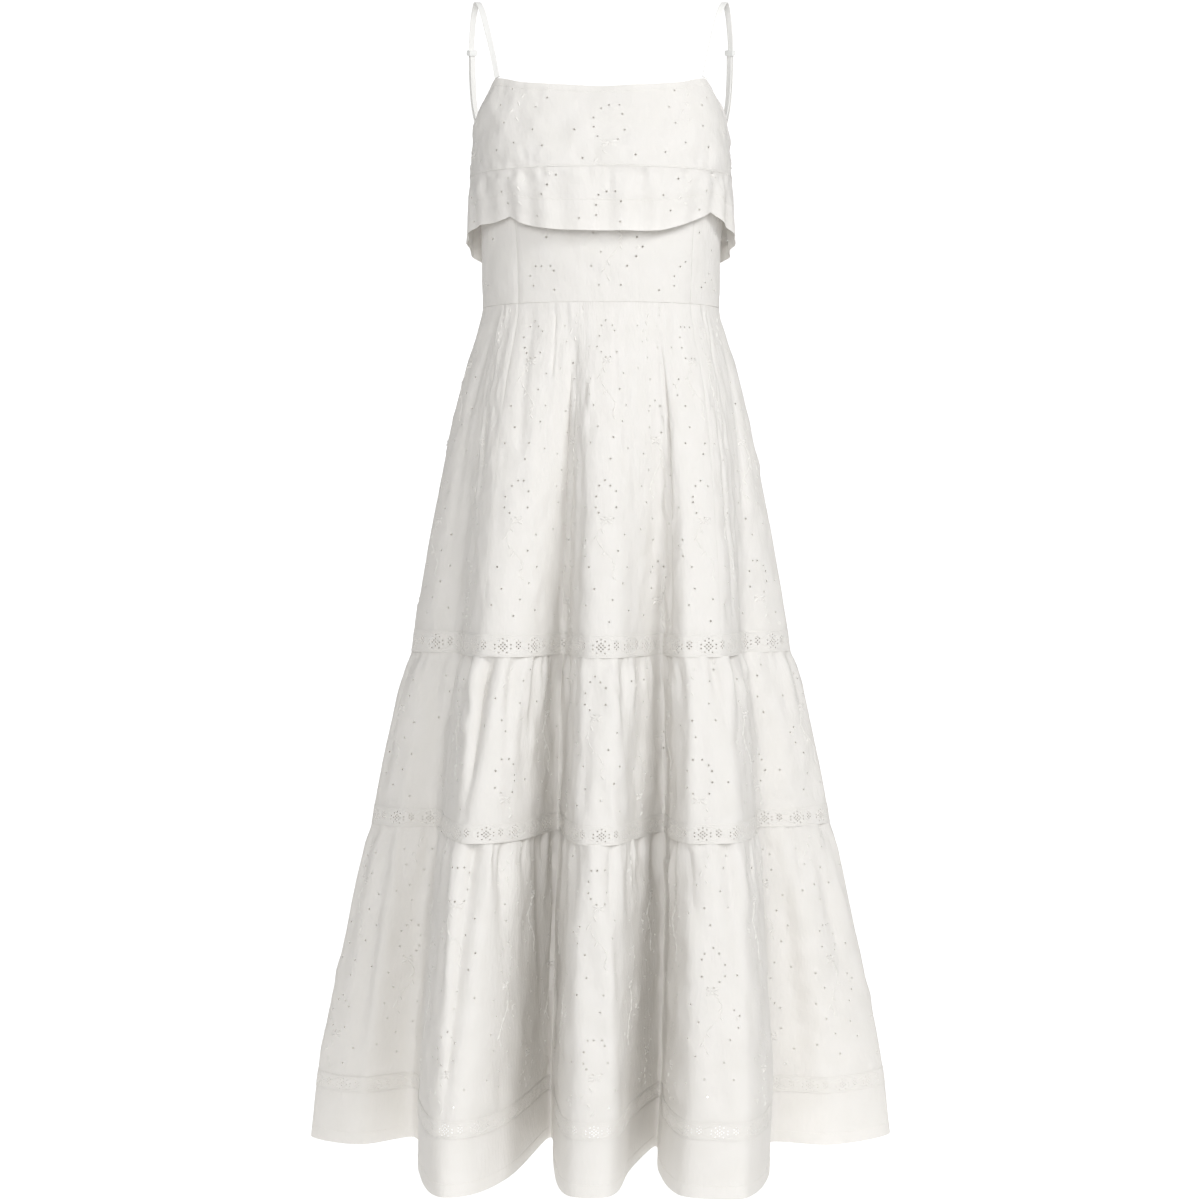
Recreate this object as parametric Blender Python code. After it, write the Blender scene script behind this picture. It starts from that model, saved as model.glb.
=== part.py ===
"""Tiered ruffle dress: a square-necked bodice under a loose ruffled overlay, on two thin straps,
over a flared skirt of three tiers joined by bands of insertion lace.

Metres, +Z up. The front faces -Y. The origin lies midway between the two straps, at the height
where they rest on the shoulders. An azimuth is 0 at the centre front, 90 at the right side (+X),
180 at the centre back and -90 at the left side.
"""

import math
from bisect import bisect_right
from collections import namedtuple

import bmesh
import bpy
from mathutils import Vector

# Cloth and seams
CLOTH = 0.0016
SEAM_GAP = 0.0003

# Heights, from the shoulder down
WAIST_Z = -0.350
LACE_1_TOP = -0.720
LACE_1_HEIGHT = 0.023
LACE_2_TOP = -0.924
LACE_2_HEIGHT = 0.019
LACE_3_TOP = -1.235
LACE_3_HEIGHT = 0.017
HEM_Z = -1.313

# The dress in plan at each height: half width, depth to the front and to the back of the side
# seams, and how square the plan is (2 is an ellipse)
Section = namedtuple("Section", "name z half_width depth_front depth_back squareness")
SECTIONS = (
    Section("neckline", -0.095, 0.1285, 0.0880, 0.0780, 2.8),
    Section("underarm", -0.150, 0.1435, 0.1030, 0.0860, 2.6),
    Section("bust", -0.200, 0.1430, 0.1130, 0.0890, 2.4),
    Section("ribs", -0.275, 0.1375, 0.1050, 0.0880, 2.2),
    Section("waist", -0.350, 0.1360, 0.0990, 0.0900, 2.1),
    Section("high hip", -0.380, 0.1435, 0.1060, 0.1000, 2.0),
    Section("hip", -0.450, 0.1640, 0.1240, 0.1180, 2.0),
    Section("thigh", -0.585, 0.1925, 0.1500, 0.1440, 2.0),
    Section("first lace top", -0.720, 0.2165, 0.1710, 0.1640, 2.0),
    Section("first lace foot", -0.743, 0.2195, 0.1735, 0.1665, 2.0),
    Section("second tier head", -0.766, 0.2280, 0.1810, 0.1735, 2.0),
    Section("knee", -0.828, 0.2440, 0.1950, 0.1870, 2.0),
    Section("second lace top", -0.924, 0.2635, 0.2130, 0.2040, 2.0),
    Section("second lace foot", -0.943, 0.2665, 0.2150, 0.2060, 2.0),
    Section("third tier head", -0.966, 0.2735, 0.2220, 0.2125, 2.0),
    Section("calf", -1.104, 0.3045, 0.2460, 0.2320, 2.0),
    Section("third lace top", -1.235, 0.3310, 0.2610, 0.2440, 2.0),
    Section("hem", -1.313, 0.3400, 0.2660, 0.2480, 2.0),
)

# The skirt's long folds: each line runs from its azimuth at the waist to its place at the hem
Fold = namedtuple("Fold", "name azimuth hem_x hem_y")
FOLDS = (
    Fold("left side seam", -90, -0.340, 0.024),
    Fold("left wing front", -75, -0.280, -0.023),
    Fold("trough A", -58, -0.217, 0.012),
    Fold("tube 1 outer wall", -50, -0.201, -0.150),
    Fold("tube 1 left crest", -43, -0.176, -0.258),
    Fold("tube 1 right crest", -33, -0.137, -0.248),
    Fold("tube 1 inner wall", -23, -0.100, -0.170),
    Fold("trough B", -12, -0.059, 0.012),
    Fold("tube 2 left wall", -7, -0.052, -0.140),
    Fold("tube 2 left crest", -2, -0.036, -0.252),
    Fold("tube 2 right crest", 6, 0.010, -0.256),
    Fold("tube 2 right wall", 15, 0.031, -0.145),
    Fold("trough C", 24, 0.063, -0.032),
    Fold("tube 3 inner wall", 29, 0.064, -0.150),
    Fold("tube 3 left crest", 34, 0.082, -0.248),
    Fold("tube 3 middle", 41, 0.116, -0.268),
    Fold("tube 3 right crest", 48, 0.155, -0.262),
    Fold("tube 3 outer wall", 55, 0.184, -0.165),
    Fold("trough D", 63, 0.194, -0.014),
    Fold("right wing front", 77, 0.266, -0.024),
    Fold("right side seam", 90, 0.340, 0.038),
    Fold("right wing back", 107, 0.286, 0.118),
    Fold("trough E", 121, 0.208, 0.090),
    Fold("tube 4 outer wall", 129, 0.190, 0.180),
    Fold("tube 4 right crest", 136, 0.162, 0.240),
    Fold("tube 4 left crest", 144, 0.122, 0.238),
    Fold("tube 4 inner wall", 152, 0.090, 0.175),
    Fold("trough F", 161, 0.062, 0.096),
    Fold("tube 5 right wall", 168, 0.048, 0.180),
    Fold("tube 5 right crest", 175, 0.022, 0.246),
    Fold("tube 5 left crest", 184, -0.020, 0.248),
    Fold("tube 5 left wall", 192, -0.050, 0.180),
    Fold("trough G", 200, -0.068, 0.102),
    Fold("tube 6 inner wall", 209, -0.098, 0.180),
    Fold("tube 6 right crest", 217, -0.130, 0.240),
    Fold("tube 6 left crest", 225, -0.168, 0.238),
    Fold("tube 6 outer wall", 233, -0.194, 0.170),
    Fold("trough H", 241, -0.210, 0.088),
    Fold("left wing back", 255, -0.288, 0.110),
)
FOLD_GROWTH = 1.35
SIDE_LEFT = [fold.name for fold in FOLDS].index("left side seam")
SIDE_RIGHT = [fold.name for fold in FOLDS].index("right side seam")

# Gathers below a lace band: how far the waves stand off the fold, at depths below the seam
Gather = namedtuple("Gather", "below height")
GATHERS = (
    Gather(0.000, 0.0010),
    Gather(0.015, 0.0038),
    Gather(0.045, 0.0026),
)
GATHER_END = 0.088
TIER_2_WAVES = (23, 21)
TIER_3_WAVES = (28, 26)

# Panels of the bodice and the first tier, from seam to seam by azimuth
PRINCESS_LEFT = -42
PRINCESS_RIGHT = 47
CENTRE_BACK = 180
Panel = namedtuple("Panel", "name start end spans")
BODICE = (
    Panel("bodice_side_left", -90, PRINCESS_LEFT, 8),
    Panel("bodice_front", PRINCESS_LEFT, PRINCESS_RIGHT, 12),
    Panel("bodice_side_right", PRINCESS_RIGHT, 90, 8),
    Panel("bodice_back_right", 90, CENTRE_BACK, 11),
    Panel("bodice_back_left", CENTRE_BACK, 270, 11),
)
FIRST_TIER = (
    Panel("tier_1_side_left", -90, PRINCESS_LEFT, 12),
    Panel("tier_1_front", PRINCESS_LEFT, PRINCESS_RIGHT, 28),
    Panel("tier_1_side_right", PRINCESS_RIGHT, 90, 11),
    Panel("tier_1_back_right", 90, CENTRE_BACK, 16),
    Panel("tier_1_back_left", CENTRE_BACK, 270, 16),
)

# Upper edge of the bodice and its overlay, the same left and right
Edge = namedtuple("Edge", "name azimuth z")
TOP_EDGE = (
    Edge("centre front", 0, -0.1100),
    Edge("neckline", 32, -0.1040),
    Edge("neckline corner", 59, -0.0955),
    Edge("armhole", 75, -0.1225),
    Edge("underarm", 90, -0.1500),
    Edge("back corner", 115, -0.1630),
    Edge("centre back", 180, -0.1650),
)
EDGE_CORNERS = (-75, -59, 59, 75, 115, 245)
OVERLAY_HEM = (
    Edge("centre front", 0, -0.2680),
    Edge("front", 30, -0.2660),
    Edge("lifted front corner", 47, -0.2545),
    Edge("side front", 68, -0.2640),
    Edge("side", 90, -0.2760),
    Edge("side back", 115, -0.2920),
    Edge("centre back", 180, -0.2860),
)
RUFFLE_TOP = -0.2026

# How far the overlay stands off the bodice
OVERLAY_OFF_TOP = CLOTH + SEAM_GAP
OVERLAY_OFF_SEAM = 0.0075
RUFFLE_OFF_HEM = 0.0165
RUFFLE_DIP = 0.0070
RUFFLE_DIP_AZIMUTH = 47
RUFFLE_DIP_SPREAD = 16
RUFFLE_WAVES = 13
RUFFLE_WAVE_HEIGHT = 0.0018

# Straps: the middle line of the right one, and how its width turns from the X axis in degrees
STRAP_WIDTH = 0.0070
StrapPoint = namedtuple("StrapPoint", "x y z turn")
STRAP = (
    StrapPoint(0.1170, -0.0575, -0.0947, 30),
    StrapPoint(0.1230, -0.0480, -0.0640, 24),
    StrapPoint(0.1305, -0.0320, -0.0320, 14),
    StrapPoint(0.1370, -0.0150, -0.0085, 5),
    StrapPoint(0.1425, 0.0000, 0.0008, 0),
    StrapPoint(0.1465, 0.0150, -0.0090, -12),
    StrapPoint(0.1495, 0.0280, -0.0300, -26),
    StrapPoint(0.1508, 0.0355, -0.0500, -35),
    StrapPoint(0.1510, 0.0420, -0.0820, -42),
    StrapPoint(0.1475, 0.0465, -0.1200, -48),
    StrapPoint(0.1360, 0.0490, -0.1622, -53),
)
SLIDER_AT = 7
STEPS_PER_STRAP_POINT = 2

# Slider: a frame with a middle bar, one window for each layer of strap
SLIDER_HEIGHT = 0.0060
SLIDER_BAR = 0.0010
SLIDER_SIDE = 0.0014

# Finishes: sRGB colour, roughness, metallic
Finish = namedtuple("Finish", "colour roughness metallic")
COTTON = Finish("F1F1EF", 0.90, 0.0)
LACE = Finish("F3F3F0", 0.85, 0.0)
STRAP_CLOTH = Finish("EEEEEC", 0.85, 0.0)
ENAMEL = Finish("E6E6E3", 0.35, 0.0)


def clear_scene():
    for obj in list(bpy.data.objects):
        bpy.data.objects.remove(obj, do_unlink=True)


def linear(hex_colour):
    """An sRGB hex colour as linear RGBA."""
    channels = []
    for start in (0, 2, 4):
        value = int(hex_colour[start:start + 2], 16) / 255
        if value <= 0.04045:
            channels.append(value / 12.92)
        else:
            channels.append(((value + 0.055) / 1.055) ** 2.4)
    return (*channels, 1.0)


def make_material(name, finish):
    material = bpy.data.materials.new(name)
    material.use_nodes = True
    shader = material.node_tree.nodes["Principled BSDF"]
    shader.inputs["Base Color"].default_value = linear(finish.colour)
    shader.inputs["Roughness"].default_value = finish.roughness
    shader.inputs["Metallic"].default_value = finish.metallic
    return material


def curve_slopes(knots, values):
    """Slopes for a smooth curve through the values that never overshoots them."""
    steps = [(values[i + 1] - values[i]) / (knots[i + 1] - knots[i]) for i in range(len(knots) - 1)]
    slopes = [steps[0]]
    for before, after in zip(steps, steps[1:]):
        if before * after <= 0:
            slopes.append(0.0)
        else:
            slopes.append(2 * before * after / (before + after))
    slopes.append(steps[-1])
    return slopes


def hermite(share, step, start, end, start_slope, end_slope):
    """A cubic from start to end, over a stretch of length step, at a share of the way."""
    square = share * share
    cube = square * share
    return (start * (2 * cube - 3 * square + 1) + end * (3 * square - 2 * cube)
            + start_slope * (step * (cube - 2 * square + share)) + end_slope * (step * (cube - square)))


def smooth_value(knots, values, slopes, at):
    at = min(max(at, knots[0]), knots[-1])
    i = min(bisect_right(knots, at) - 1, len(knots) - 2)
    step = knots[i + 1] - knots[i]
    return hermite((at - knots[i]) / step, step, values[i], values[i + 1], slopes[i], slopes[i + 1])


def smooth_table(rows, key, columns):
    """A function that reads the named columns of a table at any value of its key."""
    rows = sorted(rows, key=lambda row: getattr(row, key))
    knots = [getattr(row, key) for row in rows]
    tracks = []
    for column in columns:
        values = [getattr(row, column) for row in rows]
        tracks.append((values, curve_slopes(knots, values)))
    return lambda at: [smooth_value(knots, values, slopes, at) for values, slopes in tracks]


section_at = smooth_table(SECTIONS, "z", ("half_width", "depth_front", "depth_back", "squareness"))
top_edge_at = smooth_table(TOP_EDGE, "azimuth", ("z",))
overlay_hem_at = smooth_table(OVERLAY_HEM, "azimuth", ("z",))


def from_front(azimuth):
    """An azimuth as 0 to 180 degrees from the centre front, either way round."""
    return abs((azimuth + 180) % 360 - 180)


def plan_point(azimuth, z, off=0.0):
    """A point of the plain form, moved out by off."""
    half_width, depth_front, depth_back, squareness = section_at(z)
    sine = math.sin(math.radians(azimuth))
    cosine = math.cos(math.radians(azimuth))
    depth = depth_front if cosine > 0 else depth_back
    power = 2 / squareness
    x = math.copysign(abs(sine) ** power, sine) * (half_width + off)
    y = -math.copysign(abs(cosine) ** power, cosine) * (depth + off)
    return Vector((x, y, z))


def fold_points(z):
    """Where each fold line passes a height of the skirt."""
    drop = max(0.0, (WAIST_Z - z) / (WAIST_Z - HEM_Z))
    growth = drop ** FOLD_GROWTH
    points = []
    for fold in FOLDS:
        at_hem = plan_point(fold.azimuth, HEM_Z)
        shift = Vector((fold.hem_x, fold.hem_y, HEM_Z)) - at_hem
        points.append(plan_point(fold.azimuth, z) + shift * growth)
    return points


def fold_knots():
    """How far round the skirt each fold line is: its mean place from the waist to the hem."""
    rings = [fold_points(z) for z in (WAIST_Z, LACE_1_TOP, HEM_Z)]
    knots = [0.0]
    for i in range(len(FOLDS)):
        after = (i + 1) % len(FOLDS)
        knots.append(knots[-1] + sum((ring[after] - ring[i]).length for ring in rings) / len(rings))
    return knots


KNOTS = fold_knots()
ROUND = KNOTS[-1]


def place_of(azimuth):
    """How far round the skirt an azimuth of the waist is."""
    azimuths = [fold.azimuth for fold in FOLDS] + [FOLDS[0].azimuth + 360]
    i = min(bisect_right(azimuths, azimuth) - 1, len(FOLDS) - 1)
    share = (azimuth - azimuths[i]) / (azimuths[i + 1] - azimuths[i])
    return KNOTS[i] + share * (KNOTS[i + 1] - KNOTS[i])


def skirt_ring(z):
    """The skirt's plan at a height, as a function of how far round a point is."""
    points = fold_points(z)
    count = len(points)
    slopes = []
    for i in range(count):
        before = KNOTS[i] - (KNOTS[i - 1] if i else KNOTS[count - 1] - ROUND)
        after = KNOTS[i + 1] - KNOTS[i]
        slopes.append((points[(i + 1) % count] - points[i - 1]) / (before + after))

    def at(place):
        place = place % ROUND
        i = min(bisect_right(KNOTS, place) - 1, count - 1)
        step = KNOTS[i + 1] - KNOTS[i]
        after = (i + 1) % count
        return hermite((place - KNOTS[i]) / step, step, points[i], points[after], slopes[i], slopes[after])

    return at


def inward(before, after):
    """The level direction into the dress, square to the line between two points of a ring."""
    along = after - before
    return Vector((-along.y, along.x, 0)).normalized()


def moved_inward(before, point, after):
    """A point of a ring moved in by the cloth's thickness, square to the lines on both its sides."""
    middle = inward(before, point) + inward(point, after)
    length = CLOTH * 2 / max(middle.length, 1.0)
    return point + middle.normalized() * length


def skirt_places(start, end, z, spans):
    """Places from start to end, evenly apart at a height, with one on each long fold."""
    ring = skirt_ring(z)
    samples = 1500
    fine = [start + (end - start) * i / samples for i in range(samples + 1)]
    lengths = [0.0]
    previous = ring(fine[0])
    for place in fine[1:]:
        point = ring(place)
        lengths.append(lengths[-1] + (point - previous).length)
        previous = point
    places = []
    for i in range(spans + 1):
        target = lengths[-1] * i / spans
        j = min(bisect_right(lengths, target) - 1, samples - 1)
        share = (target - lengths[j]) / (lengths[j + 1] - lengths[j])
        places.append(fine[j] + share * (fine[j + 1] - fine[j]))
    for knot in KNOTS:
        nearest = min(range(spans + 1), key=lambda i: abs(places[i] - knot))
        if 0 < nearest < spans:
            places[nearest] = knot
    return places


def with_middles(places):
    """The places with another half-way between each two."""
    result = [places[0]]
    for before, after in zip(places, places[1:]):
        result += [(before + after) / 2, after]
    return result


def skirt_row(places, z, wave_height=0.0):
    """Outer and inner points of one row of the skirt; four places make one gather."""
    ring = skirt_ring(z)
    reach = 0.0015
    outer = []
    for i, place in enumerate(places):
        point = ring(place)
        into = inward(ring(place - reach), ring(place + reach))
        uneven = 0.8 + 0.2 * math.sin(1.7 * (i // 4))
        outer.append(point - into * (wave_height * uneven * math.cos(i * math.pi / 2)))
    line = [ring(2 * places[0] - places[1])] + outer + [ring(2 * places[-1] - places[-2])]
    inner = [moved_inward(*line[i:i + 3]) for i in range(len(outer))]
    return outer, inner


def strip_faces(upper, lower):
    """Faces between two rows of corners, of which the lower may have half as many spans."""
    faces = []
    if len(upper) == len(lower):
        for i in range(len(upper) - 1):
            faces.append((upper[i], upper[i + 1], lower[i + 1], lower[i]))
        return faces
    for i in range(len(lower) - 1):
        faces.append((upper[2 * i], upper[2 * i + 1], lower[i]))
        faces.append((upper[2 * i + 1], lower[i + 1], lower[i]))
        faces.append((upper[2 * i + 1], upper[2 * i + 2], lower[i + 1]))
    return faces


def add_wall(name, finish, rows):
    """One closed piece of cloth from its rows, top to bottom, each of outer and inner points."""
    mesh = bmesh.new()
    outer = [[mesh.verts.new(point) for point in row[0]] for row in rows]
    inner = [[mesh.verts.new(point) for point in row[1]] for row in rows]
    faces = []
    for i in range(len(rows) - 1):
        faces += strip_faces(outer[i], outer[i + 1])
        faces += [tuple(reversed(face)) for face in strip_faces(inner[i], inner[i + 1])]
        faces.append((outer[i][0], outer[i + 1][0], inner[i + 1][0], inner[i][0]))
        faces.append((outer[i][-1], inner[i][-1], inner[i + 1][-1], outer[i + 1][-1]))
    for i in range(len(outer[0]) - 1):
        faces.append((outer[0][i], inner[0][i], inner[0][i + 1], outer[0][i + 1]))
    for i in range(len(outer[-1]) - 1):
        faces.append((outer[-1][i], outer[-1][i + 1], inner[-1][i + 1], inner[-1][i]))
    for face in faces:
        mesh.faces.new(face)
    bmesh.ops.recalc_face_normals(mesh, faces=mesh.faces)
    bmesh.ops.triangulate(mesh, faces=mesh.faces)
    return add_object(name, finish, mesh)


def add_object(name, finish, mesh):
    data = bpy.data.meshes.new(name)
    mesh.to_mesh(data)
    mesh.free()
    data.shade_smooth()
    data.set_sharp_from_angle(angle=math.radians(60))
    data.materials.append(make_material(name + "_finish", finish))
    obj = bpy.data.objects.new(name, data)
    bpy.context.scene.collection.objects.link(obj)
    return obj


def half_span(half):
    """Where the front or back half of the skirt starts and ends, short of the side seams."""
    start, end = (KNOTS[SIDE_LEFT], KNOTS[SIDE_RIGHT]) if half == "front" else (KNOTS[SIDE_RIGHT], ROUND)
    return start + SEAM_GAP / 2, end - SEAM_GAP / 2


def add_skirt_piece(name, finish, places, heights):
    add_wall(name, finish, [skirt_row(places, z) for z in heights])


def add_gathered_tier(name, half, waves, top, below):
    """A tier gathered at its top; under the gathers it needs half as many points."""
    start, end = half_span(half)
    places = skirt_places(start, end, top, 2 * waves)
    rows = [skirt_row(with_middles(places), top - gather.below, gather.height) for gather in GATHERS]
    rows += [skirt_row(places, z) for z in below]
    add_wall(name, COTTON, rows)


def build_first_tier():
    heights = (WAIST_Z - SEAM_GAP / 2, -0.380, -0.450, -0.585, LACE_1_TOP + SEAM_GAP / 2)
    for panel in FIRST_TIER:
        start = place_of(panel.start) + SEAM_GAP / 2
        end = place_of(panel.end) - SEAM_GAP / 2
        add_skirt_piece(panel.name, COTTON, skirt_places(start, end, LACE_1_TOP, panel.spans), heights)


def build_lower_skirt():
    bands = (("lace_1", LACE, LACE_1_TOP, LACE_1_TOP - LACE_1_HEIGHT, 40),
             ("lace_2", LACE, LACE_2_TOP, LACE_2_TOP - LACE_2_HEIGHT, 46),
             ("lace_3", LACE, LACE_3_TOP, LACE_3_TOP - LACE_3_HEIGHT, 56),
             ("hem_band", COTTON, LACE_3_TOP - LACE_3_HEIGHT, HEM_Z, 56))
    tier_2_top = LACE_1_TOP - LACE_1_HEIGHT - SEAM_GAP / 2
    tier_3_top = LACE_2_TOP - LACE_2_HEIGHT - SEAM_GAP / 2
    for index, half in enumerate(("front", "back")):
        start, end = half_span(half)
        for name, finish, top, foot, spans in bands:
            places = skirt_places(start, end, HEM_Z, spans)
            low = foot if foot == HEM_Z else foot + SEAM_GAP / 2
            add_skirt_piece(name + "_" + half, finish, places, (top - SEAM_GAP / 2, low))
        add_gathered_tier("tier_2_" + half, half, TIER_2_WAVES[index], tier_2_top,
                          (tier_2_top - GATHER_END, LACE_2_TOP + SEAM_GAP / 2))
        add_gathered_tier("tier_3_" + half, half, TIER_3_WAVES[index], tier_3_top,
                          (tier_3_top - GATHER_END, -1.130, LACE_3_TOP + SEAM_GAP / 2))


def panel_row(azimuths, height_of, off_of):
    """Outer and inner points of one row above the waist."""
    outer = []
    inner = []
    for azimuth in azimuths:
        z = height_of(azimuth)
        line = [plan_point(azimuth + turn, z, off_of(azimuth + turn)) for turn in (-1, 0, 1)]
        outer.append(line[1])
        inner.append(moved_inward(*line))
    return outer, inner


def azimuth_steps(start, end, spans):
    """Azimuths from start to end, with the corners of the upper edge among them."""
    steps = [start + (end - start) * i / spans for i in range(spans + 1)]
    for corner in EDGE_CORNERS:
        if start < corner < end:
            nearest = min(range(1, spans), key=lambda i: abs(steps[i] - corner))
            steps[nearest] = corner
    return steps


def short_of_seams(azimuths):
    """The azimuths with both ends drawn in by half a seam's gap."""
    gap = math.degrees(SEAM_GAP / 2 / SECTIONS[0].half_width)
    return [azimuths[0] + gap] + azimuths[1:-1] + [azimuths[-1] - gap]


def top_edge(azimuth):
    return top_edge_at(from_front(azimuth))[0]


def overlay_hem(azimuth):
    return overlay_hem_at(from_front(azimuth))[0]


def between(top_of, foot_of, share):
    """A height part of the way from an upper edge to a lower one."""
    return lambda azimuth: top_of(azimuth) + share * (foot_of(azimuth) - top_of(azimuth))


def waist_seam(azimuth):
    return WAIST_Z + SEAM_GAP / 2


def build_bodice():
    for panel in BODICE:
        azimuths = short_of_seams(azimuth_steps(panel.start, panel.end, panel.spans))
        rows = [panel_row(azimuths, between(top_edge, waist_seam, share), lambda azimuth: 0.0)
                for share in (0, 0.3, 0.65, 1)]
        add_wall(panel.name, COTTON, rows)


def overlay_off(share):
    return lambda azimuth: OVERLAY_OFF_TOP + share * (OVERLAY_OFF_SEAM - OVERLAY_OFF_TOP)


def ruffle_off(share):
    """How far the ruffle stands off at a share of its depth, with its waves and lifted corners."""
    def off(azimuth):
        spread = (from_front(azimuth) - RUFFLE_DIP_AZIMUTH) / RUFFLE_DIP_SPREAD
        dip = RUFFLE_DIP * math.exp(-spread * spread)
        turns = (azimuth + 90) / 180 * RUFFLE_WAVES
        uneven = 0.7 + 0.3 * math.sin(1.9 * turns)
        wave = RUFFLE_WAVE_HEIGHT * uneven * math.cos(2 * math.pi * turns)
        return OVERLAY_OFF_SEAM + share * (RUFFLE_OFF_HEM - OVERLAY_OFF_SEAM - dip) + wave
    return off


def ruffle_seam(azimuth):
    return RUFFLE_TOP + SEAM_GAP / 2


def ruffle_top(azimuth):
    return RUFFLE_TOP - SEAM_GAP / 2


def build_overlay():
    for half, start, end in (("front", -90, 90), ("back", 90, 270)):
        azimuths = [start]
        for panel in BODICE:
            if start <= panel.start < end:
                azimuths += azimuth_steps(panel.start, panel.end, panel.spans)[1:]
        azimuths = short_of_seams(azimuths)
        rows = [panel_row(azimuths, between(top_edge, ruffle_seam, share), overlay_off(share))
                for share in (0, 0.4, 1)]
        add_wall("overlay_" + half, COTTON, rows)
        azimuths = short_of_seams(azimuth_steps(start, end, 4 * RUFFLE_WAVES))
        rows = [panel_row(azimuths, between(ruffle_top, overlay_hem, share), ruffle_off(share))
                for share in (0, 0.4, 1)]
        add_wall("overlay_ruffle_" + half, COTTON, rows)


def strap_frames(points, steps):
    """Places along a smooth line through the points, with the strap's width and face directions."""
    spots = [Vector((point.x, point.y, point.z)) for point in points]
    turns = [point.turn for point in points]
    knots = [0.0]
    for before, after in zip(spots, spots[1:]):
        knots.append(knots[-1] + (after - before).length)
    slopes = []
    for i in range(len(spots)):
        low, high = max(i - 1, 0), min(i + 1, len(spots) - 1)
        slopes.append((spots[high] - spots[low]) / (knots[high] - knots[low]))
    frames = []
    for i in range(len(spots) - 1):
        step = knots[i + 1] - knots[i]
        last = i == len(spots) - 2
        for k in range(steps + last):
            share = k / steps
            place = hermite(share, step, spots[i], spots[i + 1], slopes[i], slopes[i + 1])
            along = slopes[i].lerp(slopes[i + 1], share).normalized()
            turn = math.radians(turns[i] + share * (turns[i + 1] - turns[i]))
            across = Vector((math.cos(turn), math.sin(turn), 0))
            across = (across - along * across.dot(along)).normalized()
            frames.append((place, across, across.cross(along).normalized()))
    return frames


def add_strap(name, frames, side, away):
    """A flat strap along its frames, its middle moved away along the face direction."""
    mesh = bmesh.new()
    rings = []
    for (place, across, face), off in zip(frames, away):
        ring = []
        for u, v in ((-1, -1), (1, -1), (1, 1), (-1, 1)):
            corner = place + across * (u * STRAP_WIDTH / 2) + face * (off + v * CLOTH / 2)
            ring.append(mesh.verts.new((side * corner.x, corner.y, corner.z)))
        rings.append(ring)
    for before, after in zip(rings, rings[1:]):
        for k in range(4):
            mesh.faces.new((before[k], before[(k + 1) % 4], after[(k + 1) % 4], after[k]))
    mesh.faces.new(rings[0])
    mesh.faces.new(list(reversed(rings[-1])))
    bmesh.ops.recalc_face_normals(mesh, faces=mesh.faces)
    bmesh.ops.triangulate(mesh, faces=mesh.faces)
    return add_object(name, STRAP_CLOTH, mesh)


def add_slider(name, frame, side):
    """A frame round the strap and its returning layer, with a bar between them."""
    place, across, face = frame
    along = face.cross(across)
    layer = CLOTH + 2 * SEAM_GAP
    faces_at = [-layer / 2 - SLIDER_BAR, -layer / 2, layer / 2, layer / 2 + SLIDER_BAR]
    faces_at += [faces_at[-1] + layer, faces_at[-1] + layer + SLIDER_BAR]
    half_window = STRAP_WIDTH / 2 + SEAM_GAP
    across_at = [-half_window - SLIDER_SIDE, -half_window, half_window, half_window + SLIDER_SIDE]
    mesh = bmesh.new()
    grid = {}
    for end in (-1, 1):
        for i, v in enumerate(faces_at):
            for j, u in enumerate(across_at):
                spot = place + across * u - face * v + along * (end * SLIDER_HEIGHT / 2)
                grid[end, i, j] = mesh.verts.new((side * spot.x, spot.y, spot.z))
    windows = {(1, 1), (3, 1)}
    solid = [(i, j) for i in range(5) for j in range(3) if (i, j) not in windows]
    for i, j in solid:
        for end in (-1, 1):
            mesh.faces.new([grid[end, i + a, j + b] for a, b in ((0, 0), (1, 0), (1, 1), (0, 1))])
        sides = (((i - 1, j), (i, j), (i, j + 1)), ((i + 1, j), (i + 1, j), (i + 1, j + 1)),
                 ((i, j - 1), (i, j), (i + 1, j)), ((i, j + 1), (i, j + 1), (i + 1, j + 1)))
        for neighbour, first, second in sides:
            if neighbour not in solid:
                mesh.faces.new((grid[-1, *first], grid[-1, *second], grid[1, *second], grid[1, *first]))
    bmesh.ops.recalc_face_normals(mesh, faces=mesh.faces)
    bmesh.ops.triangulate(mesh, faces=mesh.faces)
    return add_object(name, ENAMEL, mesh)


def build_straps():
    frames = strap_frames(STRAP, STEPS_PER_STRAP_POINT)
    slider = SLIDER_AT * STEPS_PER_STRAP_POINT
    returning = frames[slider:]
    layer_gap = CLOTH + 2 * SEAM_GAP + SLIDER_BAR
    for side, word in ((-1, "left"), (1, "right")):
        add_strap("strap_" + word, frames, side, [0.0] * len(frames))
        add_strap("strap_return_" + word, returning, side, [-layer_gap] * len(returning))
        add_slider("slider_" + word, frames[slider], side)


def main():
    clear_scene()
    build_bodice()
    build_overlay()
    build_first_tier()
    build_lower_skirt()
    build_straps()


main()
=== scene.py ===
"""The tiered ruffle dress as it looks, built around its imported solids.

Metres, +Z up. The front faces -Y. An azimuth is 0 at the centre front, 90 at the right side (+X),
180 at the centre back and -90 at the left side. Each sheet of cloth is a thin shell on the outer
face of its solid, with its gathers, creases, eyelets and stitching.
"""

import math
from collections import namedtuple

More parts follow.
